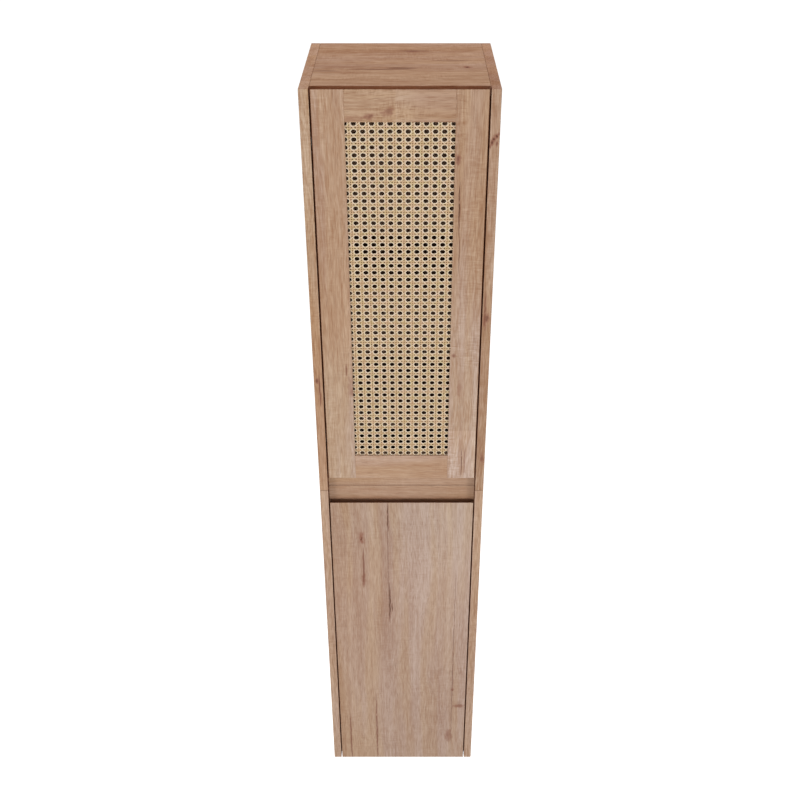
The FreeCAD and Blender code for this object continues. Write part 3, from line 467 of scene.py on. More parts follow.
def grip_recess():
    """The seam's line of painted shade between the two grip rails, and painted shade on the rail behind and
    just above the lower door's head.
    """
    group, given, result = shade_and_tone_group("grip_recess")
    z = split(group, given["Place"])[2]
    colour = draw_seam(group, given["Colour"], z, GRIP_SEAM_STRENGTH)
    fade_top = lower_door_head + RECESS_START
    fade_foot = lower_door_head - RECESS_FULL
    # Painted shade, from just above the lower door's head down behind it
    below = spread(group, z, fade_top, fade_foot, 0.0, RECESS_STRENGTH)
    feed(group, result, blend_colours(group, below, colour, RECESS_PAINTED_SHADE, "MULTIPLY"))
    return group


def pale_foot():
    """The paler length at the free stile's foot, with a straight upper end."""
    group, given, result = shade_and_tone_group("pale_foot")
    z = split(group, given["Place"])[2]
    foot = spread(group, z, PALE_FOOT_TOP + PALE_FOOT_SOFTNESS, PALE_FOOT_TOP - PALE_FOOT_SOFTNESS)
    feed(group, result, blend_colours(group, foot, given["Colour"], PALE_FOOT_TONE, "MULTIPLY"))
    return group


OAK_DECOR = oak_decor()
OAK_CRACK = oak_crack()
OAK_KNOT = oak_knot()
TONE_DRIFT = tone_drift()
DOOR_EDGES = door_edges()
# Painted shade for each kind of board, and the free stile's paler foot
SIDE_PAINTED_SHADE = [(side_reveal(), {})]
PANEL_PAINTED_SHADE = [(panel_shade(), {})]
GRIP_PAINTED_SHADE = [(grip_recess(), {})]
SLAB_PAINTED_SHADE = [(DOOR_EDGES, {"Reach": SLAB_SHADE_REACH})]
STILE_PAINTED_SHADE = [(DOOR_EDGES, {"Reach": STILE_SHADE_REACH})]
FREE_STILE_TONE_AND_SHADE = [(pale_foot(), {}), *STILE_PAINTED_SHADE]

# Which of the piece's axes lie across, through and along the grain
UPRIGHT = "XYZ"
LEVEL = "ZYX"
LYING = "YZX"

# Places in the grain's own axes, for the drifts of tone
ACROSS = 0
ALONG = 2

CRACK_COLOUR = (0.10, 0.045, 0.025, 1.0)
RED_CRACK_COLOUR = (0.20, 0.08, 0.05, 1.0)
KNOT_COLOUR = (0.29, 0.13, 0.085, 1.0)
HEART_COLOUR = (0.11, 0.045, 0.028, 1.0)
CRACK_STAIN_STRENGTH = 0.45
PATTERN_STEP = (1.37, 0.71, 2.3)
OAK_GLOSS = 0.06


def grain_of(tree, turn):
    axes = dict(zip("XYZ", split(tree, place_on_piece(tree))))
    return gather(tree, *[axes[letter] for letter in turn])


def use_mark(tree, group, grain, turn, across, along, length, width):
    """A crack or a knot, on the top of a lying board and on the front of any other."""
    surface = top if turn == LYING else front
    centre = (across * MM, surface, along * MM)
    return use_group(tree, group, Grain=grain, Centre=centre, Length=length * MM, Width=width * MM)


def oak_material(name, turn, light, dark, pattern, contrast=1.0, fleck=1.0, drifts=(), cracks=(), knots=(),
                 tone_and_shade=()):
    """Oak decor from its own place in the pattern, with the drifts, knots and cracks of one board, its
    painted shade and any paler foot.

    Drifts are (axis, start, end, first tone, last tone), knots (across, along, length, width, strength,
    heart) and cracks (across, along, length, width, strength, colour). Places and sizes are in mm.
    """
    material, tree, shader = new_material(name)
    grain = grain_of(tree, turn)
    moved = work_out_vectors(tree, "ADD", grain, tuple(pattern * step for step in PATTERN_STEP))
    oak = use_group(tree, OAK_DECOR, Grain=moved, Light=light, Dark=dark, Contrast=contrast, Fleck=fleck)
    colour = oak["Colour"]
    height = oak["Height"]
    for axis, start, end, first, last in drifts:
        colour = use_group(
            tree, TONE_DRIFT, Colour=colour, Place=split(tree, grain)[axis], Start=start * MM, End=end * MM,
            First=first + (1.0,), Last=last + (1.0,),
        )["Colour"]
    for across, along, length, width, strength, heart in knots:
        knot = use_mark(tree, OAK_KNOT, grain, turn, across, along, length, width)
        share = work_out(tree, "MULTIPLY", knot["Mask"], strength)
        heart_share = work_out(tree, "MULTIPLY", knot["Heart"], heart)
        colour = blend_colours(tree, share, colour, KNOT_COLOUR)
        colour = blend_colours(tree, heart_share, colour, HEART_COLOUR)
    for across, along, length, width, strength, line_colour in cracks:
        crack = use_mark(tree, OAK_CRACK, grain, turn, across, along, length, width)
        stain_share = work_out(tree, "MULTIPLY", crack["Stain"], strength * CRACK_STAIN_STRENGTH)
        share = work_out(tree, "MULTIPLY", crack["Mask"], strength)
        colour = blend_colours(tree, stain_share, colour, KNOT_COLOUR)
        colour = blend_colours(tree, share, colour, line_colour)
        height = work_out(tree, "SUBTRACT", height, share)
    # Painted shade, and the free stile's paler foot
    for group, values in tone_and_shade:
        colour = use_group(tree, group, Colour=colour, Place=place_on_piece(tree), **values)["Colour"]
    feed(tree, shader["Base Color"], colour)
    feed(tree, shader["Roughness"], oak["Roughness"])
    shader["Specular IOR Level"].default_value = OAK_GLOSS
    bump(tree, shader, height, strength=0.25, distance=0.6 * MM)
    return material


def dress(material, *names):
    """Gives the material to the named pieces, in place of any other."""
    for name in names:
        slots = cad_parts[name].data.materials
        slots.clear()
        slots.append(material)


# Oak tones: warm on the upper box, pinker on the lower one, redder on the top, darker inside as painted shade
FRONT_LIGHT = (0.583, 0.408, 0.280, 1.0)
FRONT_DARK = (0.370, 0.203, 0.114, 1.0)
TOP_LIGHT = (0.553, 0.402, 0.292, 1.0)
TOP_DARK = (0.350, 0.200, 0.120, 1.0)
DOOR_LIGHT = (0.576, 0.423, 0.318, 1.0)
DOOR_DARK = (0.395, 0.239, 0.158, 1.0)
SIDE_LIGHT = (0.593, 0.428, 0.316, 1.0)
SIDE_DARK = (0.392, 0.233, 0.150, 1.0)
# Inside and back boards: darker tones as painted shade for the dim inside
INSIDE_LIGHT = (0.270, 0.170, 0.108, 1.0)
INSIDE_DARK = (0.170, 0.090, 0.050, 1.0)
BACK_LIGHT = (0.440, 0.290, 0.195, 1.0)
BACK_DARK = (0.275, 0.155, 0.092, 1.0)


def dress_carcass():
    dress(
        oak_material(
            "oak_upper_left_side", UPRIGHT, FRONT_LIGHT, FRONT_DARK, 1.0, tone_and_shade=SIDE_PAINTED_SHADE,
            drifts=[
                (ALONG, 300.0, -100.0, (1.04, 1.09, 1.07), (0.91, 0.84, 0.79)),
                (ALONG, 496.5, 498.0, (1.0, 1.0, 1.0), (0.94, 0.92, 0.97)),
            ],
            cracks=[(-164.0, -110.0, 80.0, 1.8, 0.8, RED_CRACK_COLOUR)],
            knots=[(-168.0, -88.0, 18.0, 9.0, 0.9, 0.6)],
        ),
        "upper_left_side",
    )
    dress(
        oak_material(
            "oak_upper_right_side", UPRIGHT, FRONT_LIGHT, FRONT_DARK, 2.0, tone_and_shade=SIDE_PAINTED_SHADE,
            drifts=[(ALONG, 496.5, 498.0, (0.94, 0.94, 0.93), (0.86, 0.82, 0.84))],
            cracks=[(162.0, 70.0, 90.0, 1.6, 0.8, RED_CRACK_COLOUR)],
            knots=[
                (173.0, 419.0, 11.0, 9.0, 0.9, 0.7),
                (169.0, 415.0, 12.0, 11.0, 1.0, 1.0),
                (165.0, 410.0, 13.0, 11.0, 1.0, 1.0),
                (161.0, 403.0, 13.0, 9.0, 1.0, 0.9),
                (158.0, 396.0, 10.0, 6.0, 0.8, 0.4),
                (170.0, 402.0, 18.0, 6.0, 0.8, 0.4),
                (165.0, 52.0, 44.0, 16.0, 0.8, 0.5),
                (169.0, -276.0, 40.0, 11.0, 0.7, 0.3),
            ],
        ),
        "upper_right_side",
    )
    dress(
        oak_material("oak_lower_left_side", UPRIGHT, SIDE_LIGHT, SIDE_DARK, 3.0, tone_and_shade=SIDE_PAINTED_SHADE),
        "lower_left_side",
    )
    dress(
        oak_material("oak_lower_right_side", UPRIGHT, SIDE_LIGHT, SIDE_DARK, 4.0, tone_and_shade=SIDE_PAINTED_SHADE),
        "lower_right_side",
    )
    dress(
        oak_material(
            "oak_top_panel", LYING, TOP_LIGHT, TOP_DARK, 5.0, tone_and_shade=PANEL_PAINTED_SHADE,
            cracks=[
                (-186.0, -34.0, 130.0, 1.8, 0.9, CRACK_COLOUR),
                (-178.0, 2.0, 60.0, 3.0, 0.95, CRACK_COLOUR),
                (-197.0, -138.0, 60.0, 3.0, 0.5, CRACK_COLOUR),
                (-59.0, 27.0, 70.0, 3.5, 0.6, CRACK_COLOUR),
                (-128.0, 96.0, 80.0, 2.2, 0.6, CRACK_COLOUR),
            ],
            knots=[
                (-172.0, 121.0, 22.0, 18.0, 0.95, 0.8),
                (-62.0, 22.0, 40.0, 22.0, 0.6, 0.2),
            ],
        ),
        "top_panel",
    )
    dress(
        oak_material(
            "oak_grip_rails", LEVEL, FRONT_LIGHT, FRONT_DARK, 11.0, contrast=0.5, tone_and_shade=GRIP_PAINTED_SHADE,
        ),
        "upper_grip_rail", "lower_grip_rail",
    )


def dress_doors():
    dress(
        oak_material(
            "oak_hinge_stile", UPRIGHT, FRONT_LIGHT, FRONT_DARK, 6.0, contrast=0.75, tone_and_shade=STILE_PAINTED_SHADE,
            drifts=[
                (ALONG, 400.0, 60.0, (1.05, 1.11, 1.21), (0.98, 0.99, 1.03)),
                (ALONG, 60.0, -150.0, (1.0, 1.0, 1.0), (1.036, 1.11, 1.165)),
            ],
            cracks=[(-109.0, -62.0, 30.0, 1.6, 0.7, RED_CRACK_COLOUR)],
            knots=[
                (-100.0, -104.0, 64.0, 24.0, 0.42, 0.0),
                (-99.0, -112.0, 26.0, 9.0, 0.5, 0.0),
            ],
        ),
        "hinge_stile",
    )
    dress(
        oak_material(
            "oak_free_stile", UPRIGHT, FRONT_LIGHT, FRONT_DARK, 7.0, contrast=0.8, fleck=1.8,
            tone_and_shade=FREE_STILE_TONE_AND_SHADE,
            drifts=[(ALONG, 300.0, -150.0, (0.92, 0.91, 0.92), (1.07, 1.20, 1.40))],
            cracks=[
                (107.0, 280.0, 110.0, 1.3, 0.95, CRACK_COLOUR),
                (109.0, 190.0, 90.0, 1.0, 0.6, CRACK_COLOUR),
                (125.8, -288.0, 80.0, 0.9, 0.9, CRACK_COLOUR),
                (132.0, -288.0, 70.0, 0.8, 0.8, RED_CRACK_COLOUR),
            ],
            knots=[
                (103.0, 372.0, 24.0, 12.0, 0.9, 0.6),
                (104.0, -29.0, 14.0, 12.0, 0.7, 0.3),
                (117.0, -104.0, 44.0, 14.0, 0.45, 0.0),
            ],
        ),
        "free_stile",
    )
    dress(
        oak_material(
            "oak_door_top_rail", LEVEL, FRONT_LIGHT, FRONT_DARK, 8.0, fleck=2.2, tone_and_shade=SLAB_PAINTED_SHADE,
            drifts=[
                (ALONG, -9.0, -6.0, (0.895, 0.86, 0.80), (0.93, 0.92, 0.90)),
                (ALONG, 5.0, 40.0, (1.0, 1.0, 1.0), (0.89, 0.84, 0.84)),
            ],
            knots=[
                (450.0, -52.0, 30.0, 14.0, 0.8, 0.35),
                (458.0, -20.0, 28.0, 22.0, 0.7, 0.2),
                (446.0, -84.0, 40.0, 16.0, 0.5, 0.0),
            ],
        ),
        "door_top_rail",
    )
    dress(
        oak_material(
            "oak_door_bottom_rail", LEVEL, FRONT_LIGHT, FRONT_DARK, 9.0, contrast=0.55,
            drifts=[(ALONG, -10.0, 90.0, (1.05, 1.08, 1.14), (0.97, 0.96, 1.00))],
        ),
        "door_bottom_rail",
    )
    dress(
        oak_material(
            "oak_lower_door", UPRIGHT, DOOR_LIGHT, DOOR_DARK, 10.0, contrast=0.75, tone_and_shade=SLAB_PAINTED_SHADE,
            drifts=[
                (ACROSS, -140.0, 10.0, (0.99, 0.970, 0.940), (1.005, 1.030, 1.075)),
                (ALONG, -640.0, -420.0, (1.0, 1.0, 1.0), (0.945, 0.955, 0.95)),
            ],
            cracks=[
                (-30.0, -436.0, 84.0, 1.3, 0.95, CRACK_COLOUR),
                (-31.0, -560.0, 340.0, 0.8, 0.5, CRACK_COLOUR),
                (-86.0, -580.0, 120.0, 2.2, 0.75, RED_CRACK_COLOUR),
                (-28.0, -686.0, 130.0, 1.7, 0.95, CRACK_COLOUR),
                (-23.0, -700.0, 30.0, 1.3, 0.8, CRACK_COLOUR),
                (-130.0, -1150.0, 210.0, 1.4, 0.85, RED_CRACK_COLOUR),
                (-64.0, -1120.0, 280.0, 1.6, 0.8, RED_CRACK_COLOUR),
                (122.0, -900.0, 640.0, 0.9, 0.6, CRACK_COLOUR),
            ],
            knots=[
                (-90.0, -493.0, 48.0, 22.0, 0.45, 0.0),
                (-89.0, -494.0, 30.0, 9.0, 1.0, 0.9),
                (-86.0, -616.0, 46.0, 12.0, 0.7, 0.3),
                (122.0, -975.0, 14.0, 10.0, 0.9, 0.8),
                (141.0, -1031.0, 16.0, 36.0, 0.75, 0.15),
                (116.0, -1138.0, 54.0, 22.0, 0.6, 0.1),
            ],
        ),
        "lower_door_panel",
    )


def dress_inside():
    dress(
        oak_material("oak_inside_panels", LYING, INSIDE_LIGHT, INSIDE_DARK, 12.0),
        "upper_floor_panel", "lower_ceiling_panel",
        "upper_shelf_low", "upper_shelf_high", "lower_shelf_low", "lower_shelf_high",
    )
    dress(
        oak_material("oak_bottom_panel", LYING, FRONT_LIGHT, FRONT_DARK, 16.0, tone_and_shade=PANEL_PAINTED_SHADE),
        "bottom_panel",
    )
    dress(oak_material("oak_beads", UPRIGHT, FRONT_LIGHT, FRONT_DARK, 13.0), "left_bead", "right_bead")
    dress(
        oak_material("oak_level_beads", LEVEL, FRONT_LIGHT, FRONT_DARK, 14.0),
        "top_bead", "bottom_bead",
    )
    dress(
        oak_material("oak_back_boards", UPRIGHT, BACK_LIGHT, BACK_DARK, 15.0),
        "upper_back_panel", "lower_back_panel",
    )


# Hardware finishes, with the scales of their marks per metre
ZINC_CLOUD_SCALE = 260.0
ZINC_SCRATCH_SCALES = (2600.0, 300.0, 300.0)
MOULDED_CLOUD_SCALE = 90.0
PEBBLE_SCALE = 2400.0
BEECH_LINE_SCALES = (120.0, 900.0, 900.0)
ZINC_DULLNESS = 0.82
MOULDED_DULLNESS = 0.9
ZINC_BUMP = 0.08
MOULDED_BUMP = 0.12
HINGE_ZINC = (0.05, 0.045, 0.04)
SCREW_STEEL = (0.66, 0.66, 0.66)
RAIL_STEEL = (0.58, 0.59, 0.60)
WHITE_PLASTIC = (0.78, 0.78, 0.76)
CLEAR_RUBBER = (0.55, 0.55, 0.53)
BEECH_DARK = (0.42, 0.27, 0.16, 1.0)
BEECH_LIGHT = (0.62, 0.44, 0.29, 1.0)


def hardware_group(name):
    """The sockets that the hardware's finishes have alike."""
    return new_group(
        name,
        [
            PLACE_SOCKET,
            ("Bright", "NodeSocketColor", (0.6, 0.6, 0.6, 1.0)),
            ("Dull", "NodeSocketColor", (0.5, 0.5, 0.5, 1.0)),
            ("Rough", "NodeSocketFloat", 0.4),
        ],
        FINISH_RESULTS,
    )


def zinc_finish():
    """Plated metal, with dull clouds and fine scratches."""
    group, given, result = hardware_group("zinc_finish")
    clouds = noise(group, given["Place"], ZINC_CLOUD_SCALE, detail=3.0)
    scratches = drawn_noise(group, given["Place"], ZINC_SCRATCH_SCALES)
    least = work_out(group, "SUBTRACT", given["Rough"], 0.07)
    most = work_out(group, "ADD", given["Rough"], 0.1)
    feed(group, result["Colour"], blend_colours(group, clouds, given["Dull"], given["Bright"]))
    feed(group, result["Roughness"], roughen(group, scratches, least, most))
    feed(group, result["Height"], scratches)
    return group


def moulded_finish():
    """Moulded plastic or rubber, with faint clouds and a fine pebbled face."""
    group, given, result = hardware_group("moulded_finish")
    clouds = noise(group, given["Place"], MOULDED_CLOUD_SCALE, detail=3.0)
    pebbles = noise(group, given["Place"], PEBBLE_SCALE)
    least = work_out(group, "SUBTRACT", given["Rough"], 0.06)
    most = work_out(group, "ADD", given["Rough"], 0.08)
    feed(group, result["Colour"], blend_colours(group, clouds, given["Dull"], given["Bright"]))
    feed(group, result["Roughness"], roughen(group, pebbles, least, most))
    feed(group, result["Height"], pebbles)
    return group


ZINC_FINISH = zinc_finish()
MOULDED_FINISH = moulded_finish()


def hardware_material(name, group, colour, dullness, rough, bump_strength):
    material, tree, shader = new_material(name)
    dull = tuple(dullness * part for part in colour)
    finish = use_group(
        tree, group, Place=place_on_piece(tree), Bright=colour + (1.0,), Dull=dull + (1.0,), Rough=rough,
    )
    feed(tree, shader["Base Color"], finish["Colour"])
    feed(tree, shader["Roughness"], finish["Roughness"])
    bump(tree, shader, finish["Height"], strength=bump_strength, distance=0.1 * MM)
    return material, shader


def zinc_material(name, colour, rough):
    material, shader = hardware_material(name, ZINC_FINISH, colour, ZINC_DULLNESS, rough, ZINC_BUMP)
    shader["Metallic"].default_value = 1.0
    return material


def moulded_material(name, colour, rough):
    return hardware_material(name, MOULDED_FINISH, colour, MOULDED_DULLNESS, rough, MOULDED_BUMP)[0]


def beech_material():
    material, tree, shader = new_material("beech_dowels")
    lines = drawn_noise(tree, place_on_piece(tree), BEECH_LINE_SCALES, detail=3.0)
    feed(tree, shader["Base Color"], blend_colours(tree, lines, BEECH_DARK, BEECH_LIGHT))
    feed(tree, shader["Roughness"], roughen(tree, lines, 0.7, 0.55))
    bump(tree, shader, lines, strength=0.2, distance=0.2 * MM)
    return material


def dress_hardware():
    dress(
        zinc_material("hinge_zinc", HINGE_ZINC, 0.42),
        "upper_hinge_cabinet_leaves", "lower_hinge_cabinet_leaves", "upper_hinge_door_leaves",
        "lower_hinge_door_leaves", "upper_hinge_links", "lower_hinge_links",
    )
    dress(
        zinc_material("screw_steel", SCREW_STEEL, 0.28),
        "cabinet_leaf_screws", "upper_door_leaf_screws", "lower_door_leaf_screws", "joining_screws",
        "joining_sleeves", "cam_locks", "cam_bolts", "hanger_hooks", "hanger_adjusters", "shelf_pins",
        "bead_pins", "upper_strike", "lower_strike",
    )
    dress(
        zinc_material("rail_steel", RAIL_STEEL, 0.4),
        "upper_wall_rail", "lower_wall_rail",
    )
    dress(
        moulded_material("white_moulding", WHITE_PLASTIC, 0.45),
        "upper_left_hanger", "upper_right_hanger", "lower_left_hanger", "lower_right_hanger",
        "magnet_catches",
    )
    dress(moulded_material("buffer_rubber", CLEAR_RUBBER, 0.6), "door_buffers")
    dress(beech_material(), "carcass_dowels", "frame_dowels")


# Woven cane: upright pairs, level pairs and two sets of slanting strands, over and under each other
CANE_PITCH_ACROSS = 16.0 * MM
CANE_PITCH_UP = 14.345 * MM
FIRST_HOLE_FROM_LEFT = -0.7 * MM
FIRST_HOLE_FROM_TOP = 61.8 * MM
PAIR_WIDTH = 2.8 * MM
SLANT_WIDTH = 2.4 * MM
STRAND_THICKNESS = 0.8 * MM
PAIR_SPREAD = 2.05 * MM
PAIR_RISE = 0.38 * MM
SLANT_RISE = 0.75 * MM
STRAND_SIDES = 8
SPARE_COLUMNS = 2
SPARE_ROWS = 3
HOLE_HALF_WIDTH = 4.5 * MM
HOLE_HALF_HEIGHT = 3.8 * MM
WELD_DISTANCE = 0.01 * MM
SMOOTH_ANGLE = math.radians(50)

hole_column = opening_left + FIRST_HOLE_FROM_LEFT
hole_row = top - FIRST_HOLE_FROM_TOP + CANE_PITCH_UP


def start_strand(start, turn, width):
    """The outline of one strand, an oval of the strand's width and thickness, ready to be drawn out."""
    bpy.ops.object.select_all(action="DESELECT")
    bpy.ops.mesh.primitive_circle_add(
        vertices=STRAND_SIDES, radius=width / 2, location=start, rotation=(0.0, turn, 0.0)
    )
    bpy.ops.object.transform_apply(location=True, rotation=True, scale=True)
    bpy.ops.object.mode_set(mode="EDIT")
    bpy.ops.mesh.select_all(action="SELECT")
    bpy.ops.transform.resize(value=(1.0, STRAND_THICKNESS / width, 1.0), center_override=start)


def draw_strand(name, start, turn, width, period, steps):
    """One strand over one period of the weave: steps are (share of the period, depth)."""
    start_strand(start, turn, width)
    share, depth = steps[0]
    bpy.ops.transform.translate(value=(0.0, depth, 0.0))
    for next_share, next_depth in steps[1:]:
        move = period * (next_share - share) + Vector((0.0, next_depth - depth, 0.0))
        bpy.ops.mesh.extrude_region_move(TRANSFORM_OT_translate={"value": move})
        share, depth = next_share, next_depth
    bpy.ops.object.mode_set(mode="OBJECT")
    strand = bpy.context.object
    strand.name = name
    return strand


def repeat(strand, count, offset, joined):
    """Repeats the strand by a fixed step, joined end to end or apart."""
    rows = strand.modifiers.new("rows", "ARRAY")
    rows.count = count
    rows.use_relative_offset = False
    rows.use_constant_offset = True
    rows.constant_offset_displace = offset
    rows.use_merge_vertices = joined
    rows.merge_threshold = WELD_DISTANCE
    bpy.ops.object.modifier_apply(modifier="rows")


def close_ends():
    bpy.ops.object.mode_set(mode="EDIT")
    bpy.ops.mesh.select_all(action="SELECT")
    bpy.ops.mesh.fill_holes(sides=STRAND_SIDES)
    bpy.ops.mesh.normals_make_consistent(inside=False)
    bpy.ops.object.mode_set(mode="OBJECT")


def trim_to_seat():
    """Cuts the strands off where the cane panel ends, in the rebate behind the frame."""
    bpy.ops.object.mode_set(mode="EDIT")
    for corner, outwards in [
        (cane_low, (-1.0, 0.0, 0.0)), (cane_low, (0.0, 0.0, -1.0)),
        (cane_high, (1.0, 0.0, 0.0)), (cane_high, (0.0, 0.0, 1.0)),
    ]:
        bpy.ops.mesh.select_all(action="SELECT")
        bpy.ops.mesh.bisect(plane_co=corner, plane_no=outwards, use_fill=True, clear_outer=True)
    bpy.ops.object.mode_set(mode="OBJECT")


def finish_cane(material):
    piece = bpy.context.object
    bpy.ops.object.shade_smooth_by_angle(angle=SMOOTH_ANGLE)
    piece.data.materials.clear()
    piece.data.materials.append(material)
    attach(piece, "upper_door")
    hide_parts("cane_panel")


# Cane's colours, with a painted highlight round the holes and painted shade between the strands of a pair,
# and scales of its marks per metre, across, through and along a strand
CANE_LINE_SCALES = (1500.0, 300.0, 25.0)
CANE_PATCH_SCALES = (60.0, 30.0, 14.0)
CANE_JOINT_SCALES = (130.0, 30.0, 60.0)
GREEN_PATCH_SCALES = (75.0, 40.0, 75.0)
PINK_PATCH_SCALES = (110.0, 40.0, 50.0)
TAN_PALE = (0.675, 0.488, 0.303, 1.0)
TAN_DEEP = (0.505, 0.322, 0.167, 1.0)
CREAM_PALE = (0.703, 0.527, 0.345, 1.0)
CREAM_DEEP = (0.551, 0.380, 0.218, 1.0)
GREEN_CANE = (0.523, 0.430, 0.172, 1.0)
PINK_CANE = (0.665, 0.458, 0.335, 1.0)
JOINT_COLOUR = (0.34, 0.19, 0.09, 1.0)
RIM_PAINTED_HIGHLIGHT = (0.895, 0.785, 0.640, 1.0)
BETWEEN_PAINTED_SHADE = (0.42, 0.22, 0.08, 1.0)
LINE_SHARE = 0.5
PATCH_SHARE = 0.8
GREEN_STRENGTH = 0.5
PINK_STRENGTH = 0.6
JOINT_STRENGTH = 0.35
RIM_START, RIM_FULL = 1.5, 1.22
RIM_STRENGTH = 0.55
BETWEEN_STRENGTH = 0.8
CANE_GLOSS = 0.4


def cane_fibre():
    """Fine lines along the strand, paler and deeper lengths, green and pink patches and brown joints."""
    group, given, result = new_group(
        "cane_fibre",
        [
            PLACE_SOCKET,
            ("Pale", "NodeSocketColor", (0.7, 0.5, 0.28, 1.0)),
            ("Deep", "NodeSocketColor", (0.5, 0.32, 0.16, 1.0)),
        ],
        FINISH_RESULTS,
    )
    place = given["Place"]
    lines = drawn_noise(group, place, CANE_LINE_SCALES)
    patches = drawn_noise(group, place, CANE_PATCH_SCALES)
    joints = drawn_noise(group, place, CANE_JOINT_SCALES)
    green = drawn_noise(group, place, GREEN_PATCH_SCALES)
    pink = drawn_noise(group, place, PINK_PATCH_SCALES)
    line_part = work_out(group, "MULTIPLY", lines, LINE_SHARE)
    patch_part = work_out(group, "MULTIPLY", patches, PATCH_SHARE)
    tone = spread(group, work_out(group, "ADD", line_part, patch_part), 0.40, 0.88)
    joint_mask = work_out(group, "MULTIPLY", spread(group, joints, 0.62, 0.8), JOINT_STRENGTH)
    colour = blend_colours(group, tone, given["Deep"], given["Pale"])
    green_mask = spread(group, green, 0.45, 0.62, 0.0, GREEN_STRENGTH)
    pink_mask = spread(group, pink, 0.50, 0.66, 0.0, PINK_STRENGTH)
    colour = blend_colours(group, green_mask, colour, GREEN_CANE)
    colour = blend_colours(group, pink_mask, colour, PINK_CANE)
    colour = blend_colours(group, joint_mask, colour, JOINT_COLOUR)
    feed(group, result["Colour"], colour)
    feed(group, result["Roughness"], roughen(group, lines, 0.55, 0.4))
    feed(group, result["Height"], lines)
    return group


def cane_rim():
    """Where a strand's edge borders one of the weave's holes, for the painted highlight round each hole."""
    group, given, result = new_group("cane_rim", [PLACE_SOCKET], [MASK_RESULT])
    places = split(group, given["Place"])
    reach = 0.0
    for place, first, pitch, half in [
        (places[0], hole_column, CANE_PITCH_ACROSS, HOLE_HALF_WIDTH),
        (places[2], hole_row, CANE_PITCH_UP, HOLE_HALF_HEIGHT),
    ]:
        holes = work_out(group, "DIVIDE", work_out(group, "SUBTRACT", place, first), pitch)
        off_hole = work_out(group, "SUBTRACT", holes, work_out(group, "ROUND", holes))
        share = work_out(group, "MULTIPLY", off_hole, pitch / half)
        reach = work_out(group, "ADD", reach, work_out(group, "MULTIPLY", share, share))
    feed(group, result["Mask"], spread(group, work_out(group, "SQRT", reach), RIM_START, RIM_FULL))
    return group


def cane_pair():
    """Where a strand's edge faces the other strand of its pair, for the painted shade between them."""
    group, given, result = new_group(
        "cane_pair",
        [
            ("Place", "NodeSocketFloat", 0.0),
            ("First", "NodeSocketFloat", 0.0),
            ("Pitch", "NodeSocketFloat", CANE_PITCH_ACROSS),
        ],
        [MASK_RESULT],
    )
    pairs = work_out(group, "SUBTRACT", given["Place"], given["First"])
    pairs = work_out(group, "DIVIDE", pairs, given["Pitch"])
    off_middle = off_from(group, pairs, work_out(group, "ROUND", pairs))
    off_middle = work_out(group, "MULTIPLY", off_middle, given["Pitch"])
    feed(group, result["Mask"], spread(group, off_middle, PAIR_SPREAD, PAIR_SPREAD - PAIR_WIDTH / 2))
    return group


CANE_FIBRE = cane_fibre()
CANE_RIM = cane_rim()
CANE_PAIR = cane_pair()


def cane_material(name, turn, pale, deep, pair=None):
    """Cane strands whose fibres run up the piece after it is turned about the depth axis.

    A pair is (axis across it, its first hole, its pitch).
    """
    material, tree, shader = new_material(name)
    mapping = tree.nodes.new("ShaderNodeMapping")
    mapping.inputs["Rotation"].default_value = (0.0, turn, 0.0)
    feed(tree, mapping.inputs["Vector"], place_on_piece(tree))
    cane = use_group(tree, CANE_FIBRE, Place=mapping.outputs["Vector"], Pale=pale, Deep=deep)
    rim = use_group(tree, CANE_RIM, Place=place_on_piece(tree))["Mask"]
    # Painted highlight round each hole
    colour = blend_colours(tree, work_out(tree, "MULTIPLY", rim, RIM_STRENGTH), cane["Colour"], RIM_PAINTED_HIGHLIGHT)
    # Painted shade between the strands of a pair
    if pair:
        axis, first_hole, pitch = pair
        place = split(tree, place_on_piece(tree))[axis]
        between = use_group(tree, CANE_PAIR, Place=place, First=first_hole + pitch / 2, Pitch=pitch)["Mask"]
        share = work_out(tree, "MULTIPLY", between, BETWEEN_STRENGTH)
        colour = blend_colours(tree, share, colour, BETWEEN_PAINTED_SHADE)
    feed(tree, shader["Base Color"], colour)
    feed(tree, shader["Roughness"], cane["Roughness"])
    shader["Specular IOR Level"].default_value = CANE_GLOSS
    bump(tree, shader, cane["Height"], strength=0.25, distance=0.2 * MM)
    return material


def pair_steps(share, near, far):
    """The way of one strand of a pair past the two strands that cross it, over one period."""
    return [
        (0.0, 0.0), (0.25, 0.0), (0.5 - share, near), (0.5, 0.0), (0.5 + share, far), (0.75, 0.0), (1.0, 0.0),
    ]


def slant_steps(at_upright, at_level):
    """The way of a slanting strand between the upright pairs and the level pairs, over one period."""
    return [
        (0.0, at_upright), (0.17, at_upright), (0.33, at_level), (0.67, at_level), (0.83, at_upright),
        (1.0, at_upright),
    ]


def weave_strands(strand, period, periods, beside, count, material):
    """Makes one period of a strand into the whole set of such strands."""
    repeat(strand, periods, period, True)
    close_ends()
    repeat(strand, count, beside, False)
    trim_to_seat()
    finish_cane(material)


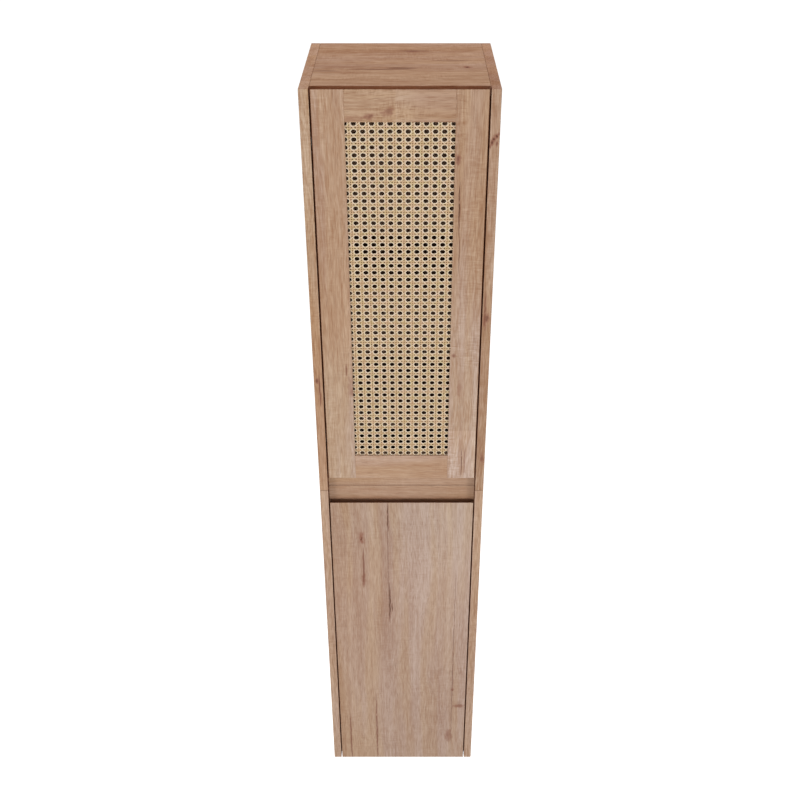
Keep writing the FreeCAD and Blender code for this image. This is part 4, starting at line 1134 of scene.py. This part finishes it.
def weave_cane():
    depth = cane_middle.y
    quarter_turn = math.radians(90)
    slant = math.atan2(CANE_PITCH_ACROSS, CANE_PITCH_UP)
    columns = math.ceil((cane_high.x - cane_low.x) / CANE_PITCH_ACROSS) + SPARE_COLUMNS
    rows = math.ceil((cane_high.z - cane_low.z) / CANE_PITCH_UP) + SPARE_ROWS
    left = hole_column - CANE_PITCH_ACROSS
    foot = hole_row - (rows - 1) * CANE_PITCH_UP
    upright = Vector((0.0, 0.0, CANE_PITCH_UP))
    level = Vector((CANE_PITCH_ACROSS, 0.0, 0.0))
    upright_pair = (0, hole_column, CANE_PITCH_ACROSS)
    level_pair = (2, hole_row, CANE_PITCH_UP)
    tan_upright = cane_material("cane_upright", 0.0, TAN_PALE, TAN_DEEP, upright_pair)
    tan_level = cane_material("cane_level", quarter_turn, TAN_PALE, TAN_DEEP, level_pair)

    # Upright and level pairs: the two of a pair pass the other pair in turn
    for name, side in [("cane_upright_left_strands", -1.0), ("cane_upright_right_strands", 1.0)]:
        start = Vector((left + CANE_PITCH_ACROSS / 2 + side * PAIR_SPREAD, depth, foot))
        steps = pair_steps(PAIR_SPREAD / CANE_PITCH_UP, side * PAIR_RISE, -side * PAIR_RISE)
        strand = draw_strand(name, start, 0.0, PAIR_WIDTH, upright, steps)
        weave_strands(strand, upright, rows, level, columns, tan_upright)
    for name, side in [("cane_level_low_strands", -1.0), ("cane_level_high_strands", 1.0)]:
        start = Vector((left, depth, foot + CANE_PITCH_UP / 2 + side * PAIR_SPREAD))
        steps = pair_steps(PAIR_SPREAD / CANE_PITCH_ACROSS, -side * PAIR_RISE, side * PAIR_RISE)
        strand = draw_strand(name, start, quarter_turn, PAIR_WIDTH, level, steps)
        weave_strands(strand, level, columns, upright, rows, tan_level)

    # Slanting strands: one set passes in front of the upright pairs, the other in front of the level ones
    for name, side in [("cane_rising", 1.0), ("cane_falling", -1.0)]:
        slanted = Vector((CANE_PITCH_ACROSS, 0.0, side * CANE_PITCH_UP))
        first_foot = foot - columns * CANE_PITCH_UP if side > 0 else foot
        start = Vector((left + CANE_PITCH_ACROSS / 2, depth, first_foot))
        steps = slant_steps(-side * SLANT_RISE, side * SLANT_RISE)
        strand = draw_strand(name + "_strands", start, side * slant, SLANT_WIDTH, slanted, steps)
        cream = cane_material(name, -side * slant, CREAM_PALE, CREAM_DEEP)
        weave_strands(strand, slanted, columns, upright, rows + columns, cream)


# Studio: camera at the photograph's angle, pale floor, soft light
LENS_LENGTH = 48.03
SENSOR_WIDTH = 36.0
LENS_SHIFT = -0.0101
CAMERA_PLACE = (0.014, front - 1.825, top + 0.531)
CAMERA_TILT = math.radians(57.53)
FRONT_AIM = (0.0, front, -0.3)
TOP_AIM = (0.0, -0.15, top)
WHITE_LIGHT = (1.0, 1.0, 1.0)
WARM_LIGHT = (1.0, 0.80, 0.68)
SKY_LIGHT = 0.4
SKY_SEEN = 1.0
FLOOR_SIZE = 30.0
FLOOR_DROP = 0.45
FLOOR_CLOUD_SCALE = 3.0
FLOOR_ROUGHNESS = 0.9
FLOOR_GLOW = 0.75
FLOOR_DARK = (0.8, 0.8, 0.8, 1.0)
FLOOR_PALE = (0.84, 0.84, 0.84, 1.0)


def set_camera():
    lens = bpy.data.cameras.new("studio_camera")
    lens.lens = LENS_LENGTH
    lens.sensor_width = SENSOR_WIDTH
    lens.shift_x = LENS_SHIFT
    camera = bpy.data.objects.new("studio_camera", lens)
    camera.location = CAMERA_PLACE
    camera.rotation_euler = (CAMERA_TILT, 0.0, 0.0)
    bpy.context.scene.collection.objects.link(camera)
    bpy.context.scene.camera = camera


def soft_lamp(name, size, watts, place, aim, colour=WHITE_LIGHT):
    light = bpy.data.lights.new(name, "AREA")
    light.color = colour
    light.shape = "DISK"
    light.size = size
    light.energy = watts
    lamp = bpy.data.objects.new(name, light)
    lamp.location = place
    lamp.rotation_euler = (Vector(aim) - Vector(place)).to_track_quat("-Z", "Y").to_euler()
    bpy.context.scene.collection.objects.link(lamp)


def set_light():
    world = bpy.data.worlds.new("studio_world")
    world.use_nodes = True
    tree = world.node_tree
    sky = tree.nodes["Background"]
    sky.inputs["Color"].default_value = WHITE_LIGHT + (1.0,)
    seen = tree.nodes.new("ShaderNodeLightPath").outputs["Is Camera Ray"]
    feed(tree, sky.inputs["Strength"], spread(tree, seen, 0.0, 1.0, SKY_LIGHT, SKY_SEEN, "LINEAR"))
    bpy.context.scene.world = world
    bpy.context.scene.view_settings.view_transform = "Standard"
    soft_lamp("left_lamp", size=1.2, watts=26.5, place=(-2.4, front - 2.6, 0.2), aim=FRONT_AIM)
    soft_lamp("right_lamp", size=1.2, watts=26.5, place=(2.4, front - 2.6, 0.2), aim=FRONT_AIM)
    soft_lamp("middle_lamp", size=0.4, watts=35.0, place=(0.0, front - 3.4, 0.25), aim=FRONT_AIM)
    soft_lamp("top_lamp", size=1.6, watts=23.0, place=(0.0, 0.7, top + 1.6), aim=TOP_AIM, colour=WARM_LIGHT)


def floor_material():
    """Pale paint that glows a little, and clear from below, so that the cabinet's underside can be seen."""
    material, tree, shader = new_material("pale_floor")
    clouds = noise(tree, place_on_piece(tree), FLOOR_CLOUD_SCALE)
    feed(tree, shader["Base Color"], blend_colours(tree, clouds, FLOOR_DARK, FLOOR_PALE))
    shader["Roughness"].default_value = FLOOR_ROUGHNESS
    shader["Emission Color"].default_value = WHITE_LIGHT + (1.0,)
    shader["Emission Strength"].default_value = FLOOR_GLOW
    below = tree.nodes.new("ShaderNodeNewGeometry").outputs["Backfacing"]
    clear = tree.nodes.new("ShaderNodeBsdfTransparent")
    either = tree.nodes.new("ShaderNodeMixShader")
    feed(tree, either.inputs[0], below)
    feed(tree, either.inputs[1], tree.nodes["Principled BSDF"].outputs[0])
    feed(tree, either.inputs[2], clear.outputs[0])
    feed(tree, tree.nodes["Material Output"].inputs["Surface"], either.outputs[0])
    return material


def lay_floor():
    bpy.ops.object.select_all(action="DESELECT")
    bpy.ops.mesh.primitive_plane_add(size=FLOOR_SIZE, location=(0.0, 0.0, bottom - FLOOR_DROP))
    floor = bpy.context.object
    floor.name = "studio_floor"
    floor.data.materials.append(floor_material())
    floor.visible_diffuse = False


set_camera()
set_light()
lay_floor()
dress_carcass()
dress_doors()
dress_inside()
dress_hardware()
weave_cane()
